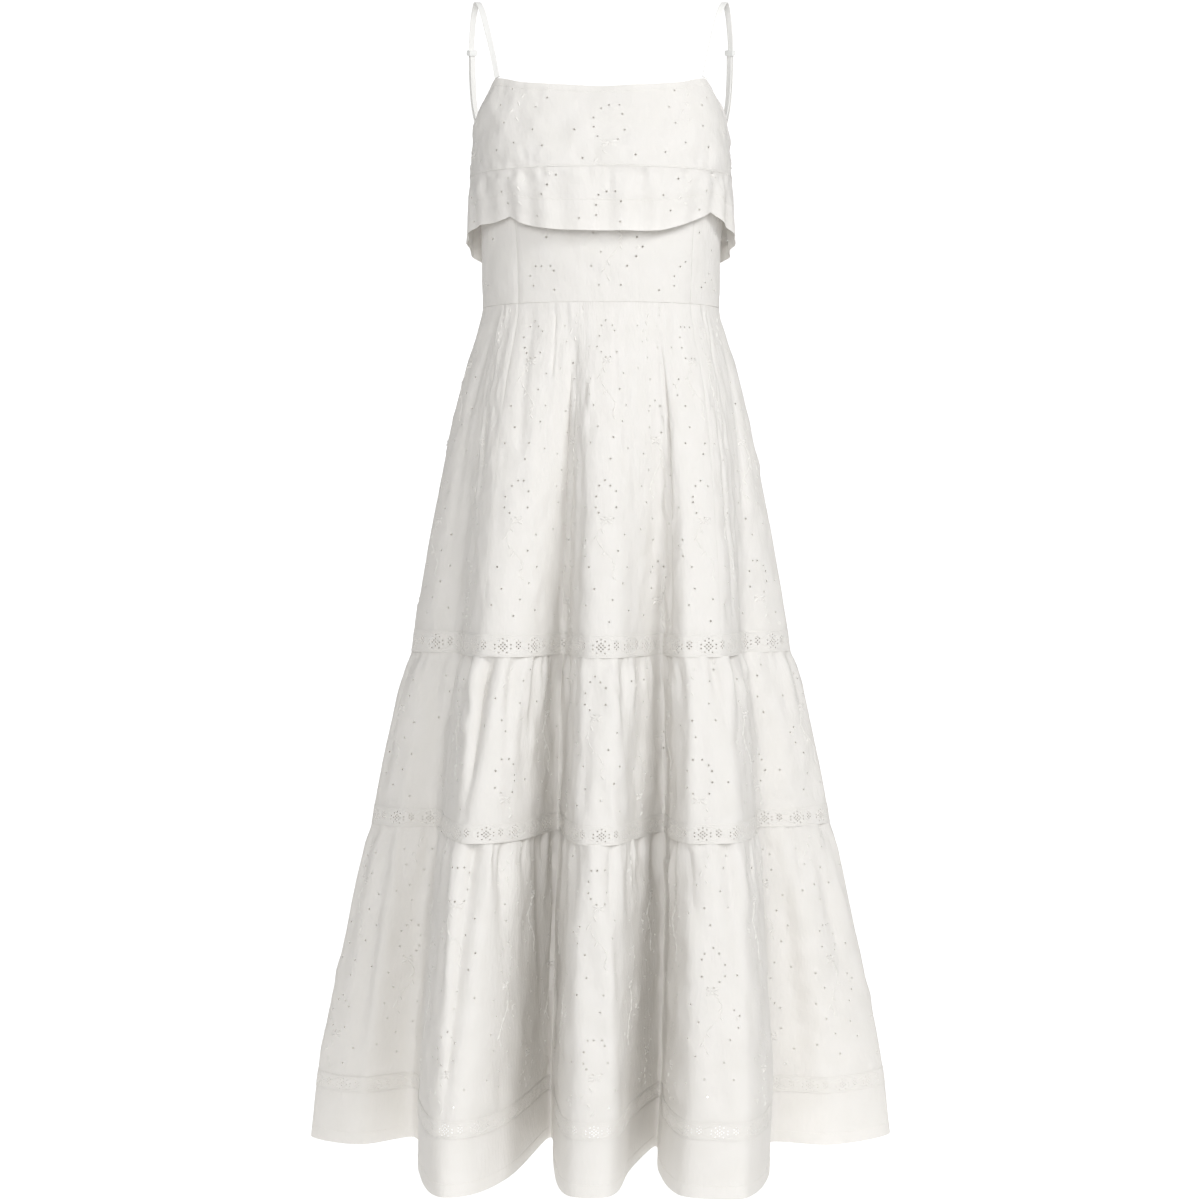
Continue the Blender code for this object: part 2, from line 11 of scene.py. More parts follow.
import bpy
import numpy as np
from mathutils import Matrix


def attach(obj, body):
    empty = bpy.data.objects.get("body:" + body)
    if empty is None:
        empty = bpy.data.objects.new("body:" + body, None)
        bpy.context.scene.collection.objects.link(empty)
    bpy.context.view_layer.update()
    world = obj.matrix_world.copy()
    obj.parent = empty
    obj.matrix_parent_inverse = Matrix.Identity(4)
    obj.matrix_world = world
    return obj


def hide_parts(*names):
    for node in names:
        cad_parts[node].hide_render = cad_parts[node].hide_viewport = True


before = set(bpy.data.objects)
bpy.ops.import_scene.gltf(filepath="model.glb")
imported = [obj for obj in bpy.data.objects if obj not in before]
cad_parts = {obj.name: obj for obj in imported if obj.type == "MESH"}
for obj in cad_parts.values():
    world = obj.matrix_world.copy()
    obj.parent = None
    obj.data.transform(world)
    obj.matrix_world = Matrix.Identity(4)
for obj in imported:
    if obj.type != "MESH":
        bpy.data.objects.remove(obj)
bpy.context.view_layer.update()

MM = 0.001
SEED = 11

# Heights, from the shoulder down
WAIST_Z = -0.350
LACE_1_TOP = -0.720
LACE_1_HEIGHT = 0.023
LACE_2_TOP = -0.924
LACE_2_HEIGHT = 0.019
LACE_3_TOP = -1.235
LACE_3_HEIGHT = 0.017
HEM_Z = -1.313

# The dress in plan at each height
Section = namedtuple("Section", "name z half_width depth_front depth_back squareness")
SECTIONS = (
    Section("neckline", -0.095, 0.1285, 0.0880, 0.0780, 2.8),
    Section("underarm", -0.150, 0.1435, 0.1030, 0.0860, 2.6),
    Section("bust", -0.200, 0.1430, 0.1130, 0.0890, 2.4),
    Section("ribs", -0.275, 0.1375, 0.1050, 0.0880, 2.2),
    Section("waist", -0.350, 0.1360, 0.0990, 0.0900, 2.1),
    Section("high hip", -0.380, 0.1435, 0.1060, 0.1000, 2.0),
    Section("hip", -0.450, 0.1640, 0.1240, 0.1180, 2.0),
    Section("thigh", -0.585, 0.1925, 0.1500, 0.1440, 2.0),
    Section("first lace top", -0.720, 0.2165, 0.1710, 0.1640, 2.0),
    Section("first lace foot", -0.743, 0.2195, 0.1735, 0.1665, 2.0),
    Section("second tier head", -0.766, 0.2280, 0.1810, 0.1735, 2.0),
    Section("knee", -0.828, 0.2440, 0.1950, 0.1870, 2.0),
    Section("second lace top", -0.924, 0.2635, 0.2130, 0.2040, 2.0),
    Section("second lace foot", -0.943, 0.2665, 0.2150, 0.2060, 2.0),
    Section("third tier head", -0.966, 0.2735, 0.2220, 0.2125, 2.0),
    Section("calf", -1.104, 0.3045, 0.2460, 0.2320, 2.0),
    Section("third lace top", -1.235, 0.3310, 0.2610, 0.2440, 2.0),
    Section("hem", -1.313, 0.3400, 0.2660, 0.2480, 2.0),
)

# The skirt's long folds, from the azimuth at the waist to the place at the hem
Fold = namedtuple("Fold", "name azimuth hem_x hem_y")
FOLDS = (
    Fold("left side seam", -90, -0.340, 0.024),
    Fold("left wing front", -75, -0.280, -0.023),
    Fold("trough A", -58, -0.217, 0.012),
    Fold("tube 1 outer wall", -50, -0.201, -0.150),
    Fold("tube 1 left crest", -43, -0.176, -0.258),
    Fold("tube 1 right crest", -33, -0.137, -0.248),
    Fold("tube 1 inner wall", -23, -0.100, -0.170),
    Fold("trough B", -12, -0.059, 0.012),
    Fold("tube 2 left wall", -7, -0.052, -0.140),
    Fold("tube 2 left crest", -2, -0.036, -0.252),
    Fold("tube 2 right crest", 6, 0.010, -0.256),
    Fold("tube 2 right wall", 15, 0.031, -0.145),
    Fold("trough C", 24, 0.063, -0.032),
    Fold("tube 3 inner wall", 29, 0.064, -0.150),
    Fold("tube 3 left crest", 34, 0.082, -0.248),
    Fold("tube 3 middle", 41, 0.116, -0.268),
    Fold("tube 3 right crest", 48, 0.155, -0.262),
    Fold("tube 3 outer wall", 55, 0.184, -0.165),
    Fold("trough D", 63, 0.194, -0.014),
    Fold("right wing front", 77, 0.266, -0.024),
    Fold("right side seam", 90, 0.340, 0.038),
    Fold("right wing back", 107, 0.286, 0.118),
    Fold("trough E", 121, 0.208, 0.090),
    Fold("tube 4 outer wall", 129, 0.190, 0.180),
    Fold("tube 4 right crest", 136, 0.162, 0.240),
    Fold("tube 4 left crest", 144, 0.122, 0.238),
    Fold("tube 4 inner wall", 152, 0.090, 0.175),
    Fold("trough F", 161, 0.062, 0.096),
    Fold("tube 5 right wall", 168, 0.048, 0.180),
    Fold("tube 5 right crest", 175, 0.022, 0.246),
    Fold("tube 5 left crest", 184, -0.020, 0.248),
    Fold("tube 5 left wall", 192, -0.050, 0.180),
    Fold("trough G", 200, -0.068, 0.102),
    Fold("tube 6 inner wall", 209, -0.098, 0.180),
    Fold("tube 6 right crest", 217, -0.130, 0.240),
    Fold("tube 6 left crest", 225, -0.168, 0.238),
    Fold("tube 6 outer wall", 233, -0.194, 0.170),
    Fold("trough H", 241, -0.210, 0.088),
    Fold("left wing back", 255, -0.288, 0.110),
)
FOLD_GROWTH = 1.35
PRINCESS_LEFT = -42
PRINCESS_RIGHT = 47

# Upper edge of the bodice and its overlay, the same left and right
Edge = namedtuple("Edge", "name azimuth z")
TOP_EDGE = (
    Edge("centre front", 0, -0.1100),
    Edge("neckline", 32, -0.1040),
    Edge("neckline corner", 59, -0.0955),
    Edge("armhole", 75, -0.1225),
    Edge("underarm", 90, -0.1500),
    Edge("back corner", 115, -0.1630),
    Edge("centre back", 180, -0.1650),
)
# The ruffle's lower edge, all round from the left side seam, lifted to a point at each front corner
RUFFLE_HEM = (
    Edge("left side", -90, -0.2760),
    Edge("left side front", -63, -0.2608),
    Edge("beside the left corner", -52, -0.2598),
    Edge("below the left corner", -44, -0.2563),
    Edge("left corner", -42, -0.2545),
    Edge("right of the left corner", -40, -0.2566),
    Edge("left front", -29, -0.2665),
    Edge("left of the middle", -15, -0.2720),
    Edge("centre front", 0, -0.2735),
    Edge("right of the middle", 20, -0.2730),
    Edge("right front", 35, -0.2645),
    Edge("left of the right corner", 51, -0.2510),
    Edge("right corner", 54, -0.2478),
    Edge("beside the right corner", 57, -0.2508),
    Edge("right side front", 66, -0.2600),
    Edge("right side", 90, -0.2760),
    Edge("right side back", 115, -0.2920),
    Edge("centre back", 180, -0.2860),
    Edge("left side back", 245, -0.2920),
    Edge("left side again", 270, -0.2760),
)
RUFFLE_TOP = -0.2026
OVERLAY_OFF_TOP = 0.0019
OVERLAY_OFF_SEAM = 0.0075
RUFFLE_OFF_HEM = 0.0165
RUFFLE_DIP = 0.0070
RUFFLE_DIP_AZIMUTH = 47
RUFFLE_DIP_SPREAD = 16
RUFFLE_WAVES = 13
RUFFLE_WAVE_HEIGHT = 0.0018

# Straps: the middle line of the right one, and how its width turns from the X axis in degrees
STRAP_WIDTH = 0.0070
StrapPoint = namedtuple("StrapPoint", "x y z turn")
STRAP = (
    StrapPoint(0.1170, -0.0575, -0.0947, 30),
    StrapPoint(0.1230, -0.0480, -0.0640, 24),
    StrapPoint(0.1305, -0.0320, -0.0320, 14),
    StrapPoint(0.1370, -0.0150, -0.0085, 5),
    StrapPoint(0.1425, 0.0000, 0.0008, 0),
    StrapPoint(0.1465, 0.0150, -0.0090, -12),
    StrapPoint(0.1495, 0.0280, -0.0300, -26),
    StrapPoint(0.1508, 0.0355, -0.0500, -35),
    StrapPoint(0.1510, 0.0420, -0.0820, -42),
    StrapPoint(0.1475, 0.0465, -0.1200, -48),
    StrapPoint(0.1360, 0.0490, -0.1622, -53),
)
SLIDER_AT = 7
RETURN_OFF = 0.0032

# Cloth
COTTON_THICK = 0.0006
LACE_THICK = 0.0007
LACE_OVERLAP = 0.0013
LACE_OFF = 0.0004
CELL_ACROSS = 0.0036
CELL_DOWN = 0.0060
LACE_CELLS_PER_REPEAT = 18
LACE_REPEAT = 0.040

# How the gathers below a lace band stand off the fold, as on the solids
Gather = namedtuple("Gather", "below height")
GATHERS = (
    Gather(0.000, 0.0008),
    Gather(0.015, 0.0036),
    Gather(0.045, 0.0026),
    Gather(0.088, 0.0000),
)
TIER_2_WAVES = (23, 21)
TIER_3_WAVES = (28, 26)


# Curves and the dress's form


def slopes_of(knots, values):
    """Slopes for a smooth curve through the values that never overshoots them."""
    steps = np.diff(values) / np.diff(knots)
    before, after = steps[:-1], steps[1:]
    total = np.where(before + after == 0, 1, before + after)
    middle = np.where(before * after > 0, 2 * before * after / total, 0)
    return np.concatenate((steps[:1], middle, steps[-1:]))


def hermite(share, step, start, end, start_slope, end_slope):
    square = share * share
    cube = square * share
    return (start * (2 * cube - 3 * square + 1) + end * (3 * square - 2 * cube)
            + start_slope * (step * (cube - 2 * square + share)) + end_slope * (step * (cube - square)))


def soft_step(value):
    value = np.clip(value, 0, 1)
    return value * value * (3 - 2 * value)


def read_table(rows, key, column, at):
    """A column of a table at any values of its key, smoothly."""
    rows = sorted(rows, key=lambda row: getattr(row, key))
    knots = np.array([getattr(row, key) for row in rows], float)
    values = np.array([getattr(row, column) for row in rows], float)
    slopes = slopes_of(knots, values)
    at = np.clip(at, knots[0], knots[-1])
    i = np.clip(np.searchsorted(knots, at, side="right") - 1, 0, len(knots) - 2)
    step = knots[i + 1] - knots[i]
    return hermite((at - knots[i]) / step, step, values[i], values[i + 1], slopes[i], slopes[i + 1])


def plan_points(azimuth, z, off=0.0):
    """Points of the plain form, moved out by off."""
    azimuth, z, off = np.broadcast_arrays(azimuth, z, off)
    half_width, depth_front, depth_back, squareness = (
        read_table(SECTIONS, "z", column, z)
        for column in ("half_width", "depth_front", "depth_back", "squareness"))
    sine = np.sin(np.radians(azimuth))
    cosine = np.cos(np.radians(azimuth))
    depth = np.where(cosine > 0, depth_front, depth_back)
    power = 2 / squareness
    x = np.sign(sine) * np.abs(sine) ** power * (half_width + off)
    y = -np.sign(cosine) * np.abs(cosine) ** power * (depth + off)
    return np.stack((x, y, z), axis=-1)


def fold_points(heights):
    """Where each fold line passes each height: a row for each height."""
    azimuths = np.array([fold.azimuth for fold in FOLDS])
    at_hem = plan_points(azimuths, HEM_Z)
    shift = np.array([(fold.hem_x, fold.hem_y, HEM_Z) for fold in FOLDS]) - at_hem
    drop = np.clip((WAIST_Z - heights) / (WAIST_Z - HEM_Z), 0, None)
    return plan_points(azimuths[None, :], heights[:, None]) + shift * (drop ** FOLD_GROWTH)[:, None, None]


def fold_knots():
    """How far round the skirt each fold line is: its mean place from the waist to the hem."""
    rings = fold_points(np.array([WAIST_Z, LACE_1_TOP, HEM_Z]))
    chords = np.linalg.norm(np.roll(rings, -1, axis=1) - rings, axis=2).mean(axis=0)
    return np.concatenate(([0.0], np.cumsum(chords)))


KNOTS = fold_knots()
ROUND = KNOTS[-1]


def place_of(azimuth):
    """How far round the skirt an azimuth of the waist is."""
    azimuths = [fold.azimuth for fold in FOLDS] + [FOLDS[0].azimuth + 360]
    return np.interp(azimuth, azimuths, KNOTS)


# Steps for measuring along the folded skirt
FINE_STEPS = 1501


def skirt_points(places, heights):
    """Points of the skirt's outer face, a row for each height and a column for each place."""
    points = fold_points(np.asarray(heights, float))
    count = len(FOLDS)
    before = KNOTS[:count] - np.concatenate(([KNOTS[count - 1] - ROUND], KNOTS[:count - 1]))
    after = np.diff(KNOTS)
    slopes = (np.roll(points, -1, axis=1) - np.roll(points, 1, axis=1)) / (before + after)[None, :, None]
    places = np.asarray(places) % ROUND
    i = np.clip(np.searchsorted(KNOTS, places, side="right") - 1, 0, count - 1)
    step = after[i][None, :, None]
    share = ((places - KNOTS[i]) / after[i])[None, :, None]
    j = (i + 1) % count
    return hermite(share, step, points[:, i], points[:, j], slopes[:, i], slopes[:, j])


def lengths_along(points):
    """How far along a row of points each one is."""
    return np.concatenate(([0.0], np.cumsum(np.linalg.norm(np.diff(points, axis=0), axis=1))))


def even_places(start, end, z, spans):
    """Places from start to end, evenly apart at a height."""
    fine = np.linspace(start, end, FINE_STEPS)
    lengths = lengths_along(skirt_points(fine, [z])[0])
    return np.interp(np.linspace(0, lengths[-1], spans + 1), lengths, fine)


def from_front(azimuth):
    return np.abs((np.asarray(azimuth) + 180) % 360 - 180)


def top_edge(azimuth):
    return read_table(TOP_EDGE, "azimuth", "z", from_front(azimuth))


def ruffle_hem(azimuth):
    return read_table(RUFFLE_HEM, "azimuth", "z", azimuth)


def unit(vectors):
    return vectors / np.maximum(np.linalg.norm(vectors, axis=-1, keepdims=True), 1e-12)


def normals_of(points):
    """The outward direction at each point of a grid."""
    across = np.gradient(points, axis=1)
    down = np.gradient(points, axis=0)
    return unit(np.cross(down, across))


def level_out(points):
    """The level outward direction at each point of a grid."""
    across = np.gradient(points, axis=1)
    return unit(np.stack((across[..., 1], -across[..., 0], np.zeros(across.shape[:2])), axis=-1))


# Creases: troughs and ridges laid on a sheet


Crease = namedtuple("Crease", "place top foot width depth lean head tail")
# How much of a crease's length it takes to reach its depth, and to fade again
RISE_SHARE = 0.3
FALL_SHARE = 0.5


def crease_lift(places, heights, creases, opening=0.0):
    """How far a sheet is lifted by its creases. A crease fades to its head and tail at its ends,
    and takes the length of its opening to stand off the seam that it starts from."""
    lift = np.zeros((len(heights), len(places)))
    for crease in creases:
        share = (crease.top - heights) / (crease.top - crease.foot)
        rows = np.where((share >= 0) & (share <= 1))[0]
        if len(rows) == 0:
            continue
        share = share[rows]
        fade = crease.head + (1 - crease.head) * soft_step(share / RISE_SHARE)
        fade *= crease.tail + (1 - crease.tail) * soft_step((1 - share) / FALL_SHARE)
        if opening:
            fade *= np.clip((crease.top - heights[rows]) / opening, 0, 1)
        line = crease.place + crease.lean * share
        columns = np.where(np.abs(places - line.mean()) < 3 * crease.width + abs(crease.lean))[0]
        if len(columns) == 0:
            continue
        away = (places[None, columns] - line[:, None]) / crease.width
        lift[np.ix_(rows, columns)] -= crease.depth * fade[:, None] * np.exp(-away * away)
    return lift


# A crumple's rows and columns of random heights, and where the cloth's corner lies among them
LATTICE = (160, 400)
LATTICE_START = (3, 40)


def crumple(places, heights, cell, height, seed):
    """Soft uneven rises and falls, about a cell apart."""
    lattice = np.random.default_rng(seed).standard_normal(LATTICE)
    x = (places / cell)[None, :] + LATTICE_START[1]
    y = (-heights / cell)[:, None] + LATTICE_START[0]
    i, j = np.floor(x).astype(int), np.floor(y).astype(int)
    fx, fy = soft_step(x - i), soft_step(y - j)
    i, j = i % (LATTICE[1] - 1), j % (LATTICE[0] - 1)
    upper = lattice[j, i] * (1 - fx) + lattice[j, i + 1] * fx
    lower = lattice[j + 1, i] * (1 - fx) + lattice[j + 1, i + 1] * fx
    return height * (upper * (1 - fy) + lower * fy)


# Cloth crumples in several sizes at once. A down_rate of 1 is as fast a change down the cloth as across it,
# and the seed is added to the piece's own
Crumple = namedtuple("Crumple", "cell height down_rate seed")


def add_crumples(lift, places, heights, crumples, seed):
    for kind in crumples:
        lift += crumple(places, heights * kind.down_rate, kind.cell, kind.height, seed + kind.seed)


# Creases of one kind along a seam: how many to the metre or in all, the longest, the deepest and the usual
# width. The ranges below are shares of these
CreaseKind = namedtuple("CreaseKind", "count longest deepest width")
SHORTEST_CREASE = 0.25
SHORT_CREASES_OFTEN = 1.6
CREASE_WIDTHS = (0.7, 1.5)
CREASE_DEPTHS = (0.35, 1.0)
CREASE_LEANS = (-0.12, 0.12)
CREASE_HEAD = 0.55


def random_creases(rng, start, end, top, kind, metres=1.0):
    """Uneven short creases that hang from a gathered seam."""
    creases = []
    for _ in range(round(kind.count * metres)):
        share = SHORTEST_CREASE + (1 - SHORTEST_CREASE) * rng.random() ** SHORT_CREASES_OFTEN
        length = kind.longest * share
        creases.append(Crease(
            place=rng.uniform(start, end), top=top, foot=top - length,
            width=kind.width * rng.uniform(*CREASE_WIDTHS), depth=kind.deepest * rng.uniform(*CREASE_DEPTHS),
            lean=rng.uniform(*CREASE_LEANS) * length, head=CREASE_HEAD, tail=0.0))
    return creases


# Sheets: meshes made from grids of points


def mesh_object(name, vertices, faces, uvs, material):
    mesh = bpy.data.meshes.new(name)
    mesh.from_pydata(np.asarray(vertices).tolist(), [], faces)
    if uvs is not None:
        layer = mesh.uv_layers.new(name="cloth")
        loops = np.zeros(len(mesh.loops), np.int32)
        mesh.loops.foreach_get("vertex_index", loops)
        layer.data.foreach_set("uv", np.asarray(uvs, np.float32)[loops].ravel())
    mesh.materials.append(material)
    mesh.shade_smooth()
    mesh.set_sharp_from_angle(angle=math.radians(50))
    obj = bpy.data.objects.new(name, mesh)
    bpy.context.scene.collection.objects.link(obj)
    return obj


class Sheet:
    """A grid of points on the dress, with how far across and down the flat cloth each column and row is."""

    def __init__(self, points, across, down):
        self.points = points
        self.across = np.asarray(across)
        self.down = np.asarray(down)
        self.normals = normals_of(points)

    def at(self, u, v, lift=0.0):
        """Points on the sheet at places of its flat cloth, lifted off it."""
        x = np.interp(u, self.across, np.arange(len(self.across)))
        y = np.interp(v, self.down, np.arange(len(self.down)))
        i = np.clip(np.floor(x).astype(int), 0, len(self.across) - 2)
        j = np.clip(np.floor(y).astype(int), 0, len(self.down) - 2)
        fx, fy = (x - i)[..., None], (y - j)[..., None]

        def blend(grid):
            upper = grid[j, i] * (1 - fx) + grid[j, i + 1] * fx
            lower = grid[j + 1, i] * (1 - fx) + grid[j + 1, i + 1] * fx
            return upper * (1 - fy) + lower * fy

        return blend(self.points) + unit(blend(self.normals)) * np.asarray(lift)[..., None]

    def cell(self, u, v):
        """Row and column of the cell at a place of the flat cloth, or None near an edge."""
        column = int(np.searchsorted(self.across, u)) - 1
        row = int(np.searchsorted(self.down, v)) - 1
        if 2 <= column < len(self.across) - 3 and 2 <= row < len(self.down) - 3:
            return row, column
        return None


Hole = namedtuple("Hole", "row column radius")
# A stitched rim round a hole; its inner edge is drawn in and down by these shares
RIM_WIDTH = 0.55 * MM
RIM_INNER_RADIUS = 0.8
RIM_INNER_HEIGHT = 0.3
# How much of its cell a hole may reach across, with a rim and without one
RIM_REACH = 0.46
BARE_REACH = 0.62
FIRST_CORNER_ANGLE = 225


def add_shell(name, sheet, thickness, material, holes=(), corners=8, rim=0.0):
    """A closed thin shell on a sheet, with round or square holes cut through its cells."""
    points, normals = sheet.points, sheet.normals
    rows, columns = points.shape[:2]
    size = rows * columns
    index = np.arange(size).reshape(rows, columns)
    uv = np.stack(np.meshgrid(sheet.across, sheet.down), axis=-1).reshape(-1, 2)
    vertices = [points.reshape(-1, 3), (points - normals * thickness).reshape(-1, 3)]
    uvs = [uv, uv]
    kept = np.ones((rows - 1, columns - 1), bool)
    for hole in holes:
        kept[hole.row, hole.column] = False
    a, b, c, d = (grid[kept] for grid in (index[:-1, :-1], index[:-1, 1:], index[1:, 1:], index[1:, :-1]))
    faces = np.stack((a, d, c, b), axis=1).tolist()
    faces += (np.stack((a, b, c, d), axis=1) + size).tolist()
    for edge in (index[0], index[-1][::-1], index[:, 0][::-1], index[:, -1]):
        faces += np.stack((edge[:-1], edge[1:], edge[1:] + size, edge[:-1] + size), axis=1).tolist()
    if holes:
        add_holes(sheet, holes, thickness, corners, rim, vertices, uvs, faces, index, size)
    return mesh_object(name, np.concatenate(vertices), faces, np.concatenate(uvs), material)


def add_holes(sheet, holes, thickness, corners, rim, vertices, uvs, faces, index, size):
    """Cuts each hole: a raised rim where there is one, the hole's wall, and the cell around it."""
    row = np.array([hole.row for hole in holes])
    column = np.array([hole.column for hole in holes])
    radius = np.array([hole.radius for hole in holes])
    cell = [index[row, column], index[row, column + 1], index[row + 1, column + 1], index[row + 1, column]]
    flat_points = sheet.points.reshape(-1, 3)
    spots = [flat_points[k] for k in cell]
    centre = sum(spots) / 4
    across = (spots[1] + spots[2] - spots[0] - spots[3]) / 2
    down = (spots[2] + spots[3] - spots[0] - spots[1]) / 2
    reach = np.minimum(np.linalg.norm(across, axis=1), np.linalg.norm(down, axis=1))
    reach *= RIM_REACH if rim > 0 else BARE_REACH
    across, down = unit(across), unit(down)
    out = unit(np.cross(down, across))
    turns = np.radians(np.arange(corners) * 360 / corners + FIRST_CORNER_ANGLE)
    ring = np.cos(turns)[:, None] * across[:, None, :] + np.sin(turns)[:, None] * down[:, None, :]
    outer_radius = np.minimum(radius + RIM_WIDTH * (rim > 0), reach)
    inner_radius = np.minimum(radius, outer_radius * RIM_INNER_RADIUS if rim > 0 else outer_radius)
    layers = [centre[:, None] + ring * outer_radius[:, None, None] + out[:, None] * rim]
    if rim > 0:
        raised = out[:, None] * (RIM_INNER_HEIGHT * rim)
        layers.append(centre[:, None] + ring * inner_radius[:, None, None] + raised)
    layers.append(centre[:, None] + ring * inner_radius[:, None, None] - out[:, None] * thickness)
    cell_uv = (uvs[0][cell[0]] + uvs[0][cell[2]]) / 2
    first = []
    count = sum(len(part) for part in vertices)
    for layer in layers:
        first.append(count + np.arange(len(holes)) * corners)
        count += len(holes) * corners
        vertices.append(layer.reshape(-1, 3))
        uvs.append(np.repeat(cell_uv, corners, axis=0))
    per_side = corners // 4
    for side in range(4):
        here, after = cell[side], cell[(side + 1) % 4]
        steps = [(side * per_side + k) % corners for k in range(per_side + 1)]
        face = [after, here] + [first[0] + k for k in steps]
        faces.extend(np.stack(face, axis=1).tolist())
        face = [here + size, after + size] + [first[-1] + k for k in reversed(steps)]
        faces.extend(np.stack(face, axis=1).tolist())
    for upper, lower in zip(first, first[1:]):
        for k in range(corners):
            after = (k + 1) % corners
            wall = (upper + after, upper + k, lower + k, lower + after)
            faces.extend(np.stack(wall, axis=1).tolist())


# Embroidery: small raised forms laid on a sheet, each from one flat pattern of points


Form = namedtuple("Form", "points faces")
Place = namedtuple("Place", "u v turn scale")
# How deep a form's edge is sunk in the cloth
SUNK = 0.05 * MM
STITCH_PITCH = 3.4 * MM


def leaf_form(length=7.5, width=3.4, height=1.0):
    """A satin-stitched leaf with a raised middle, from its stem at the origin, in millimetres."""
    ridge = [(0, 0, 0.1), (length * 0.3, 0, height), (length * 0.65, 0, height), (length, 0, 0)]
    left = [(length * 0.2, width * 0.38, 0), (length * 0.5, width * 0.5, 0), (length * 0.8, width * 0.3, 0)]
    right = [(x, -y, z) for x, y, z in left]
    faces = []
    for offset, flip in ((4, False), (7, True)):
        strip = [(0, 1, offset), (1, offset + 1, offset), (1, 2, offset + 1), (2, offset + 2, offset + 1),
                 (2, 3, offset + 2)]
        faces += [tuple(reversed(face)) if flip else face for face in strip]
    return Form(np.array(ridge + left + right) * MM, faces)


def round_petal_form():
    return leaf_form(length=3.8, width=3.0, height=0.9)


def cord_form(line, width=0.8, height=0.35):
    """A raised line of stitching along a list of flat points, in millimetres."""
    line = np.array(line, float)
    along = unit(np.gradient(line, axis=0))
    side = np.stack((-along[:, 1], along[:, 0]), axis=1) * width / 2
    flat = np.zeros(len(line))
    points = np.concatenate((
        np.column_stack((line + side, flat)), np.column_stack((line, flat + height)),
        np.column_stack((line - side, flat))))
    n = len(line)
    faces = []
    for offset in (0, n):
        for i in range(n - 1):
            faces.append((offset + i + 1, offset + i, offset + n + i, offset + n + i + 1))
    return Form(points * MM, faces)


def stitch_form(length=2.2, width=0.8, height=0.45):
    """One stitch: a small raised dash."""
    return cord_form([(-length / 2, 0), (0, 0), (length / 2, 0)], width, height)


def lay_forms(sheet, form, places, vertices, faces, uvs):
    """Lays a form at each place of a sheet."""
    if not places:
        return
    u, v, turn, scale = (np.array([getattr(p, key) for p in places])[:, None] for key in Place._fields)
    x, y, z = (form.points[:, k][None, :] * scale for k in range(3))
    us = u + x * np.cos(turn) - y * np.sin(turn)
    vs = v + x * np.sin(turn) + y * np.cos(turn)
    points = sheet.at(us, vs, z - SUNK)
    first = sum(len(part) for part in vertices)
    vertices.append(points.reshape(-1, 3))
    uvs.append(np.stack((us, vs), axis=-1).reshape(-1, 2))
    n = len(form.points)
    for k in range(len(places)):
        offset = first + k * n
        faces.extend([tuple(offset + i for i in face) for face in form.faces])


# A motif is an egg-shaped ring of eyelets, a flower at its foot, and a stem with leaves and eyelets below
Motif = namedtuple("Motif", "u v flip")
MOTIF_ACROSS = 0.092
MOTIF_DOWN = 0.180
MOTIF_START = (0.35, 0.25)
CIRCLET_RADII = (15.5, 20.5)
CIRCLET_EYELETS = 10
CIRCLET_START = -150
CIRCLET_ANGLE = 300
EYELET_RADIUS = 1.2 * MM
EYELET_SIDES = 8
EYELET_RIM = 0.30 * MM
EYELET_SIZES = (0.85, 1.1)
EYELET_STRAY = 1 * MM
FLOWER_DOWN = 23 * MM
FLOWER_PETALS = 5
FLOWER_TURN = 18
FLOWER_LEAVES = (25, 155, 200, -20)
FLOWER_LEAF_SCALE = 1.25
VINE_START = 24
VINE_LENGTH = 62
VINE_SWAY = 11
VINE_BENDS = 1.8
VINE_STEPS = 14
VINE_MARGIN = 0.012
VINE_EYELETS = ((27, 42), (36, 52), (28, 63), (18, 74), (-27, 38), (-17, 56),
                (-30, 74), (-21, 92), (13, 97), (-9, 113), (22, 116), (34, 6), (-4, 132), (-33, 122))
VINE_LEAVES = 7
LEAF_TURNS = (55, 130)
LEAF_STRAY = 12
LEAF_SCALES = (0.8, 1.1)
# A small flower at the side of the stem, in millimetres from the motif's middle
TIP_PLACE = (30, 52)
TIP_PETALS = 6
TIP_SCALE = 0.8


def motifs_on(sheet):
    """Where the embroidery repeats on a sheet: columns of motifs, each second one half a repeat down."""
    found = []
    width, height = sheet.across[-1], sheet.down[-1]
    columns = int(width / MOTIF_ACROSS) + 2
    for i in range(-1, columns):
        for j in range(-1, int(height / MOTIF_DOWN) + 2):
            u = (i + MOTIF_START[0]) * MOTIF_ACROSS
            v = (j + MOTIF_START[1] + 0.5 * (i % 2)) * MOTIF_DOWN
            found.append(Motif(u, v, 1 if i % 2 else -1))
    return found


def circlet(motif):
    """Places of a ring's eyelets. It is open at one side of its foot."""
    spots = []
    for k in range(CIRCLET_EYELETS):
        angle = math.radians(CIRCLET_START + CIRCLET_ANGLE * k / (CIRCLET_EYELETS - 1))
        x = CIRCLET_RADII[0] * math.cos(angle)
        y = CIRCLET_RADII[1] * math.sin(angle)
        spots.append((motif.u + motif.flip * x * MM, motif.v + y * MM))
    return spots


def vine_point(share):
    """The stem below a circlet, from its foot to the next motif, in millimetres."""
    return VINE_SWAY * math.sin(math.pi * VINE_BENDS * share), VINE_START + VINE_LENGTH * share


def stem_form(flip):
    line = [vine_point(k / VINE_STEPS) for k in range(VINE_STEPS + 1)]
    return cord_form([(flip * x, y) for x, y in line], width=0.9, height=0.45)


def inside(sheet, u, v, margin=0.006):
    return margin < u < sheet.across[-1] - margin and margin < v < sheet.down[-1] - margin


